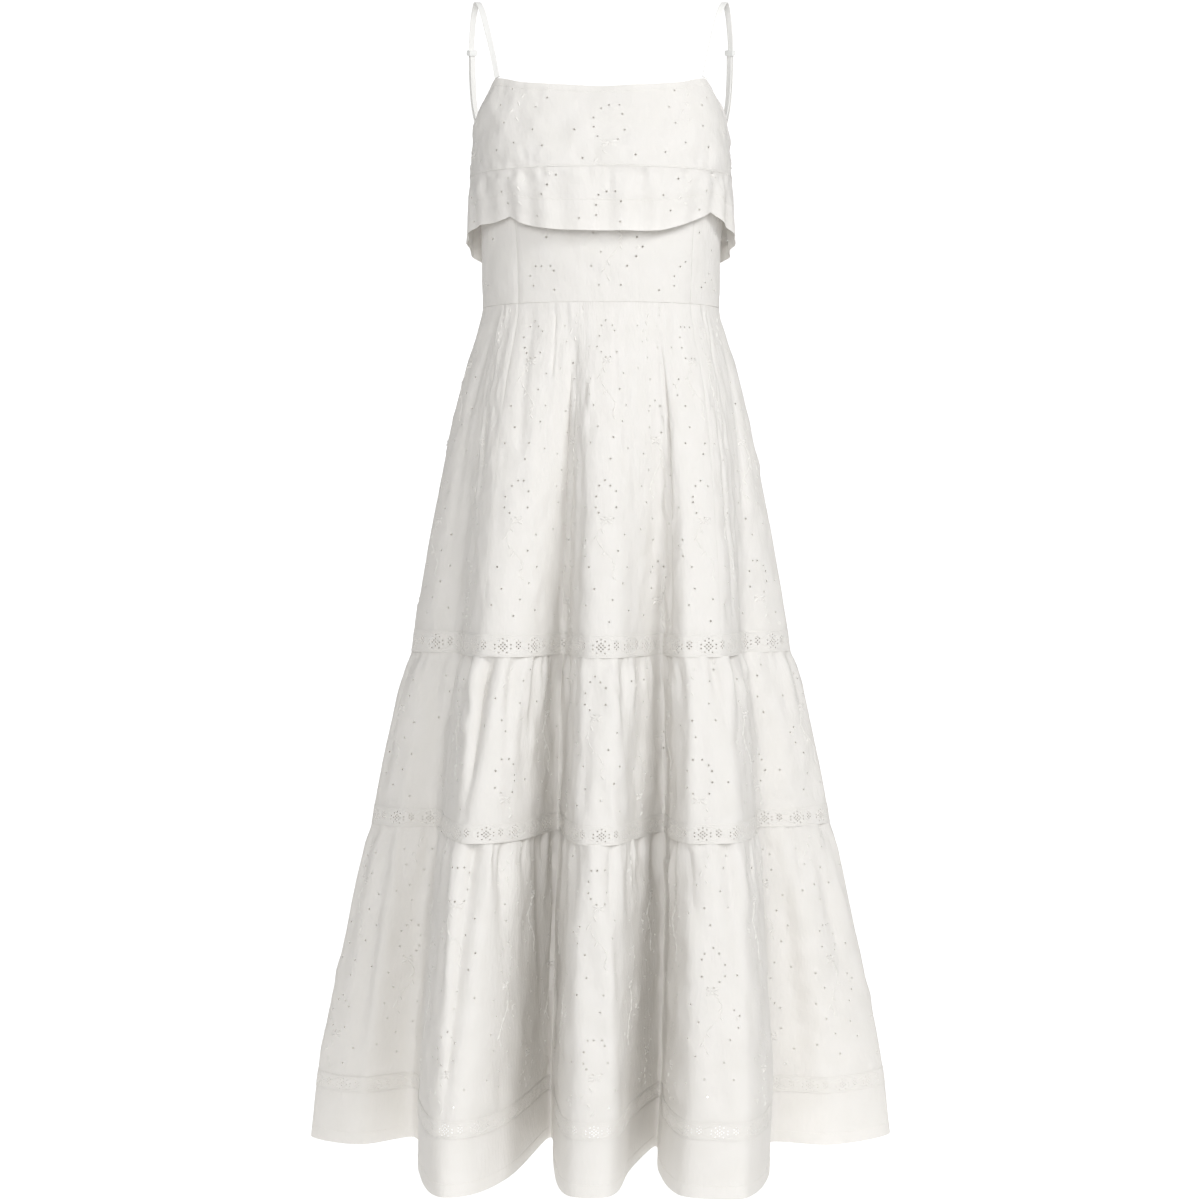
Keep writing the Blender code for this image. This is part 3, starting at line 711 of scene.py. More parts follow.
def embroider(sheet, rng):
    """Holes and raised stitching of the all-over eyelet pattern on a sheet."""
    holes = {}
    leaves, petals = [], []
    stems = {1: [], -1: []}
    for motif in motifs_on(sheet):
        spots = circlet(motif)
        spots += [(motif.u + motif.flip * x * MM, motif.v + y * MM) for x, y in VINE_EYELETS]
        for u, v in spots:
            u += rng.uniform(-1, 1) * EYELET_STRAY
            v += rng.uniform(-1, 1) * EYELET_STRAY
            cell = sheet.cell(u, v) if inside(sheet, u, v) else None
            if cell:
                holes[cell] = Hole(cell[0], cell[1], EYELET_RADIUS * rng.uniform(*EYELET_SIZES))
        foot = (motif.u, motif.v + FLOWER_DOWN)
        for k in range(FLOWER_PETALS):
            petals.append(Place(*foot, math.radians(360 / FLOWER_PETALS * k + FLOWER_TURN), 1.0))
        for turn in FLOWER_LEAVES:
            leaves.append(Place(*foot, math.radians(turn), FLOWER_LEAF_SCALE))
        ends = [motif.v + y * MM for y in (VINE_START, VINE_START + VINE_LENGTH)]
        if all(inside(sheet, motif.u, v, VINE_MARGIN) for v in ends):
            stems[motif.flip].append(Place(motif.u, motif.v, 0.0, 1.0))
        for k in range(VINE_LEAVES):
            x, y = vine_point((k + 0.8) / VINE_LEAVES)
            turn = LEAF_TURNS[k % 2] + rng.uniform(-LEAF_STRAY, LEAF_STRAY)
            leaves.append(Place(motif.u + motif.flip * x * MM, motif.v + y * MM, math.radians(turn),
                                rng.uniform(*LEAF_SCALES)))
        tip = (motif.u + motif.flip * TIP_PLACE[0] * MM, motif.v + TIP_PLACE[1] * MM)
        for k in range(TIP_PETALS):
            petals.append(Place(*tip, math.radians(360 / TIP_PETALS * k), TIP_SCALE))
    parts = ([], [], [])
    for form, places in ((leaf_form(), leaves), (round_petal_form(), petals)):
        lay_forms(sheet, form, [place for place in places if inside(sheet, place.u, place.v)], *parts)
    for flip, places in stems.items():
        lay_forms(sheet, stem_form(flip), places, *parts)
    return list(holes.values()), parts


def stitch_line(sheet, depth):
    """Places of a row of stitches across a sheet, at a depth below its top."""
    places = np.arange(STITCH_PITCH, sheet.across[-1] - STITCH_PITCH, STITCH_PITCH)
    return [Place(u, depth, 0.0, 1.0) for u in places]


# The dress's pieces


Pleat = namedtuple("Pleat", "azimuth top foot width depth lean head tail")
# Creases laid one by one, each from an azimuth at the waist; a negative depth is a ridge
HAND_PLEATS = (
    Pleat(-12.1, -0.385, -0.800, 0.0080, 0.0054, -0.009, 0.0, 0.0),
    Pleat(-21.6, -0.352, -0.470, 0.0035, 0.0018, 0.010, 0.5, 0.0),
    Pleat(-34, -0.352, -0.580, 0.0080, 0.0026, 0.008, 0.4, 0.0),
    Pleat(-66, -0.380, -0.700, 0.0060, 0.0022, -0.004, 0.0, 0.0),
    Pleat(-61.7, -0.365, -0.500, 0.0060, 0.0026, -0.014, 0.3, 0.0),
    Pleat(-53.5, -0.440, -0.640, 0.0070, -0.0025, 0.045, 0.0, 0.0),
    Pleat(73.5, -0.380, -0.680, 0.0065, 0.0028, -0.022, 0.2, 0.0),
    Pleat(6, -0.356, -0.480, 0.0060, 0.0018, 0.003, 0.4, 0.0),
    Pleat(27.5, -0.372, -0.800, 0.0090, 0.0054, 0.011, 0.0, 0.0),
    Pleat(36, -0.356, -0.450, 0.0040, 0.0016, 0.002, 0.5, 0.0),
    Pleat(61.8, -0.354, -0.510, 0.0065, 0.0026, -0.080, 0.3, 0.0),
    Pleat(52.6, -0.440, -0.760, 0.0065, 0.0028, 0.008, 0.0, 0.0),
    Pleat(-38.8, -0.742, -0.950, 0.0075, 0.0095, -0.0125, 0.7, 0.0),
    Pleat(-30, -0.742, -0.880, 0.0060, 0.0030, 0.004, 0.4, 0.0),
    Pleat(-19.4, -0.744, -0.785, 0.0030, 0.0025, 0.004, 0.7, 0.0),
    Pleat(-46.8, -0.746, -0.826, 0.0075, 0.0050, 0.028, 0.4, 0.0),
    Pleat(-86.5, -0.744, -0.950, 0.0065, 0.0045, 0.011, 0.5, 0.0),
    Pleat(-84, -0.744, -0.860, 0.0045, -0.0025, 0.006, 0.5, 0.0),
    Pleat(3.4, -0.750, -0.820, 0.0034, 0.0024, 0.036, 0.6, 0.0),
    Pleat(-1.2, -0.744, -0.960, 0.0090, 0.0038, 0.001, 0.3, 0.0),
    Pleat(1.4, -0.862, -0.960, 0.0060, 0.0030, 0.017, 0.0, 0.0),
    Pleat(38, -0.744, -0.940, 0.0070, 0.0038, 0.004, 0.5, 0.0),
    Pleat(44, -0.744, -0.840, 0.0050, 0.0030, 0.012, 0.5, 0.0),
    Pleat(28.9, -0.944, -1.080, 0.0038, 0.0040, -0.030, 0.7, 0.0),
    Pleat(41.2, -0.944, -0.975, 0.0030, 0.0024, 0.000, 0.8, 0.0),
    Pleat(45.8, -0.944, -1.200, 0.0085, 0.0065, -0.002, 0.6, 0.0),
    Pleat(-37.8, -0.944, -1.313, 0.0090, 0.0115, -0.013, 0.5, 0.15),
    Pleat(-43.9, -0.950, -1.150, 0.0060, -0.0035, 0.010, 0.3, 0.0),
    Pleat(-29, -0.944, -1.080, 0.0070, 0.0030, 0.008, 0.5, 0.0),
    Pleat(5.6, -0.944, -1.040, 0.0050, 0.0034, -0.003, 0.7, 0.0),
    Pleat(-0.6, -0.980, -1.313, 0.0090, 0.0042, 0.028, 0.0, 0.0),
    Pleat(66.6, -0.944, -0.980, 0.0028, 0.0024, -0.006, 0.8, 0.0),
    Pleat(69, -0.944, -1.290, 0.0080, 0.0042, 0.005, 0.3, 0.0),
    Pleat(75.9, -0.956, -1.045, 0.0030, 0.0025, -0.006, 0.3, 0.0),
    Pleat(80.6, -0.944, -1.150, 0.0065, 0.0055, 0.010, 0.7, 0.0),
    Pleat(84.5, -0.950, -1.100, 0.0055, -0.0025, 0.008, 0.4, 0.0),
    Pleat(-78.8, -0.944, -1.300, 0.0085, 0.0068, 0.010, 0.6, 0.0),
    Pleat(-76, -0.944, -1.060, 0.0055, -0.0030, 0.020, 0.5, 0.0),
    Pleat(-86, -0.944, -1.200, 0.0080, 0.0034, 0.004, 0.4, 0.0),
    Pleat(120, -0.380, -0.780, 0.0080, 0.0042, 0.003, 0.0, 0.0),
    Pleat(160, -0.372, -0.780, 0.0080, 0.0047, -0.003, 0.0, 0.0),
    Pleat(201, -0.376, -0.780, 0.0080, 0.0047, 0.002, 0.0, 0.0),
    Pleat(240, -0.382, -0.780, 0.0080, 0.0038, -0.004, 0.0, 0.0),
    Pleat(146, -0.356, -0.520, 0.0060, 0.0022, 0.004, 0.4, 0.0),
    Pleat(212, -0.356, -0.560, 0.0060, 0.0022, -0.004, 0.4, 0.0),
    Pleat(138, -0.744, -0.950, 0.0075, 0.0070, 0.007, 0.6, 0.0),
    Pleat(178, -0.744, -0.960, 0.0085, 0.0044, -0.004, 0.4, 0.0),
    Pleat(222, -0.744, -0.910, 0.0070, 0.0056, 0.005, 0.6, 0.0),
    Pleat(104, -0.744, -0.900, 0.0070, 0.0045, 0.006, 0.5, 0.0),
    Pleat(252, -0.744, -0.950, 0.0070, 0.0045, -0.007, 0.5, 0.0),
    Pleat(101, -0.944, -1.300, 0.0085, 0.0062, 0.008, 0.6, 0.0),
    Pleat(132, -0.944, -1.290, 0.0090, 0.0062, -0.005, 0.5, 0.0),
    Pleat(141, -0.944, -1.100, 0.0060, 0.0040, 0.008, 0.6, 0.0),
    Pleat(178, -0.944, -1.313, 0.0090, 0.0088, 0.008, 0.5, 0.1),
    Pleat(186, -0.944, -1.080, 0.0060, 0.0034, -0.006, 0.6, 0.0),
    Pleat(224, -0.944, -1.313, 0.0090, 0.0092, 0.010, 0.5, 0.1),
    Pleat(260, -0.944, -1.290, 0.0085, 0.0062, -0.007, 0.6, 0.0),
)
SKIRT_CREASES = [Crease(place_of(pleat.azimuth), *pleat[1:]) for pleat in HAND_PLEATS]

HALVES = (("front", -90, 90), ("back", 90, 270))
PANELS = (("side_left", -90, PRINCESS_LEFT), ("front", PRINCESS_LEFT, PRINCESS_RIGHT),
          ("side_right", PRINCESS_RIGHT, 90), ("back_right", 90, 180), ("back_left", 180, 270))
SEAM = 0.0003
SEAM_GROOVE = 0.5 * MM
SEAM_GROOVE_WIDTH = 1.5 * MM
SEAM_REACH = 9 * MM


def sheet_from(points, across):
    down = np.concatenate(([0.0], np.cumsum(np.linalg.norm(np.diff(points, axis=0), axis=2).mean(axis=1))))
    return Sheet(points, across, down)


def seam_sides(lift, across):
    """Flattens a sheet towards its sewn sides and draws their edges in a little, to meet the next sheet."""
    away = np.minimum(across, across[-1] - across)
    return lift * soft_step(away / SEAM_REACH) - SEAM_GROOVE * np.exp(-(away / SEAM_GROOVE_WIDTH) ** 2)


def skirt_sheet(start, end, top, foot, cell, rows, lift_of, off=0.0):
    fine = np.linspace(start, end, FINE_STEPS)
    width = lengths_along(skirt_points(fine, [foot])[0])[-1]
    columns = max(8, round(width / cell))
    places = even_places(start, end, foot, columns)
    heights = np.linspace(top, foot, rows + 1)
    points = skirt_points(places, heights)
    across = np.linspace(0, width, columns + 1)
    lift = seam_sides(lift_of(places, heights), across) + off
    return sheet_from(points + level_out(points) * lift[..., None], across)


# The small relief of each piece, and how far from a seam it fades. The first tier's fine crumples start
# as a share at the waist and are whole a little below it
FIRST_TIER_FINE = (Crumple(0.0115, 0.40 * MM, 1.0, 2), Crumple(0.016, 0.35 * MM, 0.25, 1))
FIRST_TIER_BROAD = (Crumple(0.024, 0.70 * MM, 1.0, 0),)
FINE_AT_WAIST = 0.25
FINE_FROM_WAIST = 0.15
LACE_FADE = 6 * MM
WAIST_FADE = 4 * MM
# The gathered tiers. Their long creases run from head to foot
TIER_CRUMPLES = (Crumple(0.014, 0.70 * MM, 0.3, 0), Crumple(0.028, 0.90 * MM, 1.0, 1),
                 Crumple(0.0115, 0.45 * MM, 1.0, 2))
TIER_FADE = 9 * MM
TIER_FINE = CreaseKind(75, 0.075, 2.2 * MM, 3.4 * MM)
TIER_LONG = CreaseKind(14, None, 3.0 * MM, 7.0 * MM)
TIER_RISING = CreaseKind(16, 0.09, 1.6 * MM, 6.0 * MM)
RISING_SHARE = 0.5
RISING_TAIL = 0.8
GATHER_SHIFTS = (-0.18, 0.18)
GATHER_STRENGTHS = (0.45, 1.15)
POINTS_PER_GATHER = 8
HAND_PLEAT_OPENING = 5 * MM
# The hem band, with its turned hem
HEM_CRUMPLES = (Crumple(0.024, 0.35 * MM, 1.0, 0),)
TURNED_HEM = 0.5 * MM
TURNED_HEM_DEPTH = 0.014
TURNED_HEM_EDGE = 0.003
# The bodice, and the overlay with its turned upper edge
BODICE_CRUMPLES = (Crumple(0.024, 0.50 * MM, 1.0, 0), Crumple(0.010, 0.30 * MM, 1.0, 2))
BODICE_FOOT_GROOVE = 0.05 * MM
OVERLAY_CREASES = CreaseKind(56, 0.034, 1.7 * MM, 3.4 * MM)
OVERLAY_TAIL = 0.2
OVERLAY_CRUMPLES = (Crumple(0.024, 1.10 * MM, 1.0, 0), Crumple(0.010, 0.50 * MM, 1.0, 2))
OVERLAY_FADE = 5 * MM
TURNED_EDGE = 0.5 * MM
TURNED_EDGE_DEPTH = 0.0075
TURN_WIDTH = 0.002
# The ruffle: gathers at its head, flutes at its foot, a deep hem, and waves of uneven height
RUFFLE_CREASES = CreaseKind(60, 0.036, 2.2 * MM, 3.2 * MM)
RUFFLE_FLUTES = CreaseKind(9, 0.040, 2.4 * MM, 11 * MM)
RUFFLE_CRUMPLES = (Crumple(0.026, 0.60 * MM, 1.0, 0), Crumple(0.009, 0.35 * MM, 1.0, 2))
RUFFLE_HEM_DEPTH = 0.031
TURNED_RUFFLE = 0.35 * MM
RUFFLE_UNEVEN = 0.3
RUFFLE_UNEVEN_PACE = 1.9
RUFFLE_WAVE_START = 0.3


def first_tier_lift(seed):
    """The first tier: fine crumples that grow below the waist, and broad ones all over."""
    def lift_of(places, heights):
        lift = np.zeros((len(heights), len(places)))
        add_crumples(lift, places, heights, FIRST_TIER_FINE, seed)
        below = soft_step((WAIST_Z - heights) / FINE_FROM_WAIST)
        lift *= (FINE_AT_WAIST + (1 - FINE_AT_WAIST) * below)[:, None]
        add_crumples(lift, places, heights, FIRST_TIER_BROAD, seed)
        lift *= soft_step((heights - LACE_1_TOP) / LACE_FADE)[:, None]
        lift *= soft_step((WAIST_Z - heights) / WAIST_FADE)[:, None]
        return lift + flat_lift(places, heights)
    return lift_of


def gather_lift(places, heights, start, end, top, waves, rng):
    """The gathers below a seam, in the same places as on the solid but uneven."""
    count = POINTS_PER_GATHER * waves
    turns = np.interp(places, even_places(start, end, top, count), np.arange(count + 1) / POINTS_PER_GATHER)
    marks = np.arange(waves + 1)
    shift = np.interp(turns, marks, rng.uniform(*GATHER_SHIFTS, waves + 1))
    strength = np.interp(turns, marks, rng.uniform(*GATHER_STRENGTHS, waves + 1))
    rise = read_table(GATHERS, "below", "height", top - heights)
    return rise[:, None] * (strength * np.cos(2 * np.pi * (turns + shift)))[None, :]


def tier_lift(start, end, top, foot, waves, seed):
    """A gathered tier: gathers, creases that hang from its head or rise from its foot, and crumples."""
    rng = np.random.default_rng(seed)
    metres = end - start
    creases = random_creases(rng, start, end, top, TIER_FINE, metres)
    creases += random_creases(rng, start, end, top, TIER_LONG._replace(longest=top - foot), metres)
    for crease in random_creases(rng, start, end, foot, TIER_RISING, metres):
        head = foot + (crease.top - crease.foot) * RISING_SHARE
        creases.append(crease._replace(top=head, foot=foot, head=0.0, tail=RISING_TAIL))

    def lift_of(places, heights):
        lift = gather_lift(places, heights, start, end, top, waves, rng)
        lift += crease_lift(places, heights, creases)
        add_crumples(lift, places, heights, TIER_CRUMPLES, seed)
        lift *= soft_step((heights - foot) / TIER_FADE)[:, None]
        return lift + flat_lift(places, heights)
    return lift_of


def flat_lift(places, heights):
    """The listed creases, alone, which run on through the lace and the seams."""
    return crease_lift(places, heights, SKIRT_CREASES, HAND_PLEAT_OPENING)


def hem_lift(places, heights):
    """The hem band: a turned hem stands out a little, up to its stitch line."""
    lift = flat_lift(places, heights)
    add_crumples(lift, places, heights, HEM_CRUMPLES, SEED + 90)
    turned = soft_step((HEM_Z + TURNED_HEM_DEPTH - heights) / TURNED_HEM_EDGE)
    return lift + (TURNED_HEM * turned)[:, None]


# The girth of the bodice, from the left side seam round
FINE_AZIMUTHS = np.linspace(-90, 270, 1441)
FINE_GIRTHS = lengths_along(plan_points(FINE_AZIMUTHS, -0.200))


def girth_of(azimuth):
    return np.interp(azimuth, FINE_AZIMUTHS, FINE_GIRTHS)


def upper_sheet(start, end, top_of, foot_of, off_of, cell, rows, lift_of):
    """A sheet of the bodice or the overlay. lift_of takes girths and depths below the sheet's top."""
    girths = np.linspace(girth_of(start) + SEAM / 2, girth_of(end) - SEAM / 2,
                         max(8, round((girth_of(end) - girth_of(start)) / cell)) + 1)
    azimuths = np.interp(girths, FINE_GIRTHS, FINE_AZIMUTHS)
    shares = np.linspace(0, 1, rows + 1)
    top, foot = top_of(azimuths), foot_of(azimuths)
    heights = top + shares[:, None] * (foot - top)
    points = plan_points(azimuths[None, :], heights, off_of(shares[:, None], azimuths[None, :]))
    depth = (top - foot).mean()
    lift = seam_sides(lift_of(girths, -shares * depth), girths - girths[0])
    return sheet_from(points + level_out(points) * lift[..., None], girths - girths[0])


def overlay_off(share, azimuth):
    return OVERLAY_OFF_TOP + share * (OVERLAY_OFF_SEAM - OVERLAY_OFF_TOP)


def ruffle_off(share, azimuth):
    """How far the ruffle stands off, with its waves and lifted corners."""
    spread = (from_front(azimuth) - RUFFLE_DIP_AZIMUTH) / RUFFLE_DIP_SPREAD
    dip = RUFFLE_DIP * np.exp(-spread * spread)
    turns = (azimuth + 90) / 180 * RUFFLE_WAVES
    uneven = 1 - RUFFLE_UNEVEN + RUFFLE_UNEVEN * np.sin(RUFFLE_UNEVEN_PACE * turns)
    wave = RUFFLE_WAVE_HEIGHT * uneven * np.cos(2 * np.pi * turns) * soft_step(share / RUFFLE_WAVE_START)
    return OVERLAY_OFF_SEAM + share * (RUFFLE_OFF_HEM - OVERLAY_OFF_SEAM - dip) + wave


def bodice_lift(seed):
    """Soft crumples, and a slight groove at the waist seam."""
    def lift_of(girths, depths):
        lift = np.zeros((len(depths), len(girths)))
        add_crumples(lift, girths, depths, BODICE_CRUMPLES, seed)
        lift[-1] -= BODICE_FOOT_GROOVE
        return lift
    return lift_of


def overlay_lift(seed):
    """Soft ripples, a turned upper edge, and small gathers down to the gathering seam."""
    rng = np.random.default_rng(seed)

    def lift_of(girths, depths):
        foot = depths[-1]
        creases = [crease._replace(top=foot + (crease.top - crease.foot), foot=foot, head=0.0,
                                   tail=OVERLAY_TAIL)
                   for crease in random_creases(rng, girths[0], girths[-1], foot, OVERLAY_CREASES)]
        lift = crease_lift(girths, depths, creases)
        add_crumples(lift, girths, depths, OVERLAY_CRUMPLES, seed)
        lift *= soft_step((depths - foot) / OVERLAY_FADE)[:, None]
        return lift + (TURNED_EDGE * soft_step((depths + TURNED_EDGE_DEPTH) / TURN_WIDTH))[:, None]
    return lift_of


def ruffle_lift(seed):
    """Gathers hanging from the seam, soft flutes at the edge and a deep turned hem."""
    rng = np.random.default_rng(seed)

    def lift_of(girths, depths):
        foot = depths[-1]
        creases = random_creases(rng, girths[0], girths[-1], 0.0, RUFFLE_CREASES)
        creases += [crease._replace(top=foot + RUFFLE_FLUTES.longest, foot=foot, head=0.0, tail=1.0)
                    for crease in random_creases(rng, girths[0], girths[-1], foot, RUFFLE_FLUTES)]
        lift = crease_lift(girths, depths, creases)
        add_crumples(lift, girths, depths, RUFFLE_CRUMPLES, seed)
        lift *= soft_step(-depths / OVERLAY_FADE)[:, None]
        return lift + (TURNED_RUFFLE * soft_step((foot + RUFFLE_HEM_DEPTH - depths) / TURN_WIDTH))[:, None]
    return lift_of


# The insertion lace: one repeat of its chart, where o is a hole
LACE_CHART = (
    "..................",
    "..................",
    "......o...........",
    "....o...o.....o...",
    "......o......o.o..",
    "..o..o.o..o...o...",
    "....o.o.o....o.o..",
    "..o..o.o..o...o...",
    "......o...........",
    "....o...o.........",
    "..................",
    "..................",
)
LACE_HOLE = 1.2 * MM
LAST_LACE_HOLE = 0.8 * MM
LACE_HOLE_SIDES = 4
LACE_SELVEDGE = 2
# The cords, in millimetres along a repeat: an arch above and below each group of holes, and two rails
ARCH_START = -19.5
ARCH_STEP = 3
ARCH_STEPS = 13
ARCH_REACH = 0.36
ARCH_FLATNESS = 0.35
RAIL = tuple((x, 0) for x in range(-20, 25, 5))
RAIL_LEVELS = (0.07, 0.93)
ARCH_MIDDLE = 0.42
CORD_MARGIN = 0.022


def lace_holes(sheet, radius):
    """The chart's holes, repeated along the band up to its ends."""
    holes = []
    for row, line in enumerate(LACE_CHART):
        for column in range(LACE_SELVEDGE, len(sheet.across) - 1 - LACE_SELVEDGE):
            if line[column % len(line)] == "o":
                holes.append(Hole(row, column, radius))
    return holes


def lace_cords(sheet):
    """Raised cords on the lace: a straight rail near each edge and arches round each group of holes."""
    parts = ([], [], [])
    length, height = sheet.across[-1], sheet.down[-1]
    reach = height / MM * ARCH_REACH
    arch = []
    for k in range(ARCH_STEPS + 1):
        rise = ARCH_FLATNESS + (1 - ARCH_FLATNESS) * abs(math.sin(math.pi * k / ARCH_STEPS))
        arch.append((ARCH_START + ARCH_STEP * k, reach * rise))
    mirrored = [(x, -y) for x, y in arch]
    middles = [(k + ARCH_MIDDLE) * LACE_REPEAT for k in range(int(length / LACE_REPEAT))]
    centres = [Place(u, height / 2, 0.0, 1.0) for u in middles if CORD_MARGIN < u < length - CORD_MARGIN]
    for line in (arch, mirrored):
        lay_forms(sheet, cord_form(line, width=0.8, height=0.4), centres, *parts)
    for level in RAIL_LEVELS:
        row = [place._replace(v=height * level) for place in centres]
        lay_forms(sheet, cord_form(RAIL, width=1.0, height=0.4), row, *parts)
    return parts


# Finishes


def linear(hex_colour):
    """An sRGB hex colour as linear RGBA."""
    channels = []
    for start in (0, 2, 4):
        value = int(hex_colour[start:start + 2], 16) / 255
        channels.append(value / 12.92 if value <= 0.04045 else ((value + 0.055) / 1.055) ** 2.4)
    return (*channels, 1.0)


def add_node(tree, kind, inputs=None, **settings):
    """A shader node with its settings; each input is a value or another node's output."""
    made = tree.nodes.new(kind)
    for key, value in settings.items():
        setattr(made, key, value)
    for key, value in (inputs or {}).items():
        if isinstance(value, bpy.types.NodeSocket):
            tree.links.new(value, made.inputs[key])
        else:
            made.inputs[key].default_value = value
    return made


def plain_material(name, colour, roughness, **inputs):
    """A Principled material and its shader."""
    material = bpy.data.materials.new(name)
    material.use_nodes = True
    shader = material.node_tree.nodes["Principled BSDF"]
    shader.inputs["Base Color"].default_value = linear(colour)
    shader.inputs["Roughness"].default_value = roughness
    for key, value in inputs.items():
        shader.inputs[key.replace("_", " ")].default_value = value
    return material, shader


# The shader's patterns lie on the flat sheet, in metres; a wave texture repeats 20 / 2 pi times a unit
WEAVE_PITCH = 0.6 * MM
WAVE_SCALE = 2 * math.pi / 20 / WEAVE_PITCH
WEAVE_RELIEF = 0.1 * MM
# Slubs, thicker bits of thread: about 1.1 mm across, coarser than the real 0.4 mm, and 17 mm long
SLUBS_PER_METRE = (900.0, 60.0, 1.0)
SLUB_RELIEF = 0.2 * MM
# Crinkles left by washing and wear, about 7 x 12 mm
CRINKLES_PER_METRE = (150.0, 80.0, 1.0)
CRINKLE_RELIEF = 1.2 * MM
# Cloudy differences of tone, about 25 mm
CLOUDS_PER_METRE = 40.0
CLOTH_ROUGHNESS = 0.9
COTTON_SHEEN = 0.12


def cloth_material(name, colour, other_colour, weave, slub, crinkle, through):
    """Woven cotton: threads across and along, thicker threads here and there, fine crinkles.
    It lets a share of the light through."""
    material, shader = plain_material(name, colour, CLOTH_ROUGHNESS, Sheen_Weight=COTTON_SHEEN,
                                      Sheen_Roughness=0.5)
    tree = material.node_tree
    flat = add_node(tree, "ShaderNodeUVMap", uv_map="cloth").outputs["UV"]
    threads = [add_node(tree, "ShaderNodeTexWave", {"Vector": flat, "Scale": WAVE_SCALE},
                        bands_direction=way).outputs["Fac"] for way in ("X", "Y")]
    crossing = add_node(tree, "ShaderNodeMath", {0: threads[0], 1: threads[1]}, operation="MULTIPLY")
    reliefs = [(crossing.outputs["Value"], weave, WEAVE_RELIEF)]
    for per_metre, detail, strength, relief in ((SLUBS_PER_METRE, 0.0, slub, SLUB_RELIEF),
                                                (CRINKLES_PER_METRE, 1.0, crinkle, CRINKLE_RELIEF)):
        stretched = add_node(tree, "ShaderNodeMapping", {"Vector": flat, "Scale": per_metre})
        noise = add_node(tree, "ShaderNodeTexNoise", {"Vector": stretched.outputs["Vector"], "Scale": 1.0,
                                                      "Detail": detail})
        reliefs.append((noise.outputs["Fac"], strength, relief))
    under = {}
    for height, strength, relief in reliefs:
        bump = add_node(tree, "ShaderNodeBump", {"Height": height, "Strength": strength, "Distance": relief,
                                                 **under})
        under = {"Normal": bump.outputs["Normal"]}
    cloud = add_node(tree, "ShaderNodeTexNoise", {"Vector": flat, "Scale": CLOUDS_PER_METRE, "Detail": 0.0})
    mixed = add_node(tree, "ShaderNodeMixRGB", {"Fac": cloud.outputs["Fac"], "Color1": linear(colour),
                                                "Color2": linear(other_colour)}).outputs["Color"]
    tree.links.new(mixed, shader.inputs["Base Color"])
    tree.links.new(under["Normal"], shader.inputs["Normal"])
    passing = add_node(tree, "ShaderNodeBsdfTranslucent", {"Color": mixed, **under})
    both = add_node(tree, "ShaderNodeMixShader", {"Fac": through, 1: shader.outputs["BSDF"],
                                                  2: passing.outputs["BSDF"]})
    tree.links.new(both.outputs["Shader"], tree.nodes["Material Output"].inputs["Surface"])
    return material


# Thin white cotton passes a good third of the light
THROUGH = 0.38
# Bleached cotton poplin, plain woven; its weave is drawn at 0.6 mm, coarser than the real 0.2 mm
COTTON = cloth_material("cotton_poplin", "F7F5F2", "F4F2EE", weave=0.25, slub=0.35, crinkle=0.5,
                        through=THROUGH)
# Cotton insertion lace, schiffli stitched on cotton ground
LACE = cloth_material("cotton_lace", "F8F6F3", "F4F2EE", weave=0.4, slub=0.6, crinkle=0.3,
                      through=THROUGH)
# Mercerised cotton thread, satin stitched: raised, close strands
THREAD = cloth_material("embroidery_thread", "FAF8F5", "F7F5F1", weave=0.5, slub=0.8, crinkle=0.0,
                        through=THROUGH)
# Folded and stitched cotton strap
STRAP_COTTON = cloth_material("strap_cotton", "F1F0ED", "EDECE8", weave=0.3, slub=0.3, crinkle=0.1,
                              through=0.05)
# Nylon-coated steel strap slider, injection coated: smooth, semi-gloss
COATED_STEEL = plain_material("coated_slider", "E9E9E6", 0.35, IOR=1.5)[0]


def keep(obj):
    """Every piece rides the dress's one body."""
    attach(obj, "root")
    return obj


def add_trim(name, parts, material):
    """One mesh of small raised forms."""
    vertices, faces, uvs = parts
    if not faces:
        return None
    obj = mesh_object(name, np.concatenate(vertices), faces, np.concatenate(uvs), material)
    return keep(obj)


def add_cloth(node, sheet, rows_of_stitches=(), pattern=True):
    """A sheet of cotton with its eyelets, embroidery and stitching, in place of its solid."""
    rng = np.random.default_rng(sum(ord(letter) for letter in node))
    holes, raised = embroider(sheet, rng) if pattern else ([], ([], [], []))
    shell = add_shell(node + "_cloth", sheet, COTTON_THICK, COTTON, holes, EYELET_SIDES, EYELET_RIM)
    obj = keep(shell)
    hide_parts(node)
    stitches = ([], [], [])
    for places in rows_of_stitches:
        lay_forms(sheet, stitch_form(), places, *stitches)
    trims = [add_trim(node + "_embroidery", raised, THREAD),
             add_trim(node + "_stitching", stitches, THREAD)]
    return obj


COARSENESS = 1
CELL = CELL_ACROSS * COARSENESS
UPPER_CELL = CELL * 0.9
BODICE_ROW = 0.005
OVERLAY_ROW = 0.0036
HEM_ROW = 0.0045
# Rough heights of the neckline and of the ruffle's foot, which set the number of rows
BODICE_HEAD = -0.12
OVERLAY_HEAD = -0.11
RUFFLE_FOOT = -0.27
# Where the rows of stitches run, from the edge or the seam
NECK_STITCHES = 0.0072
SEAM_STITCHES = 0.0018
HEM_STITCHES = 0.0135


def rows_for(top, foot, down=CELL_DOWN):
    return max(3, round((top - foot) / down / COARSENESS))


def level(z):
    """An edge at one height all round."""
    return lambda azimuth: np.full_like(azimuth, z)


def build_bodice():
    for panel, start, end in PANELS:
        sheet = upper_sheet(start, end, top_edge, level(WAIST_Z + SEAM / 2),
                            lambda share, azimuth: 0.0 * share, CELL,
                            rows_for(BODICE_HEAD, WAIST_Z, BODICE_ROW), bodice_lift(SEED))
        add_cloth("bodice_" + panel, sheet)


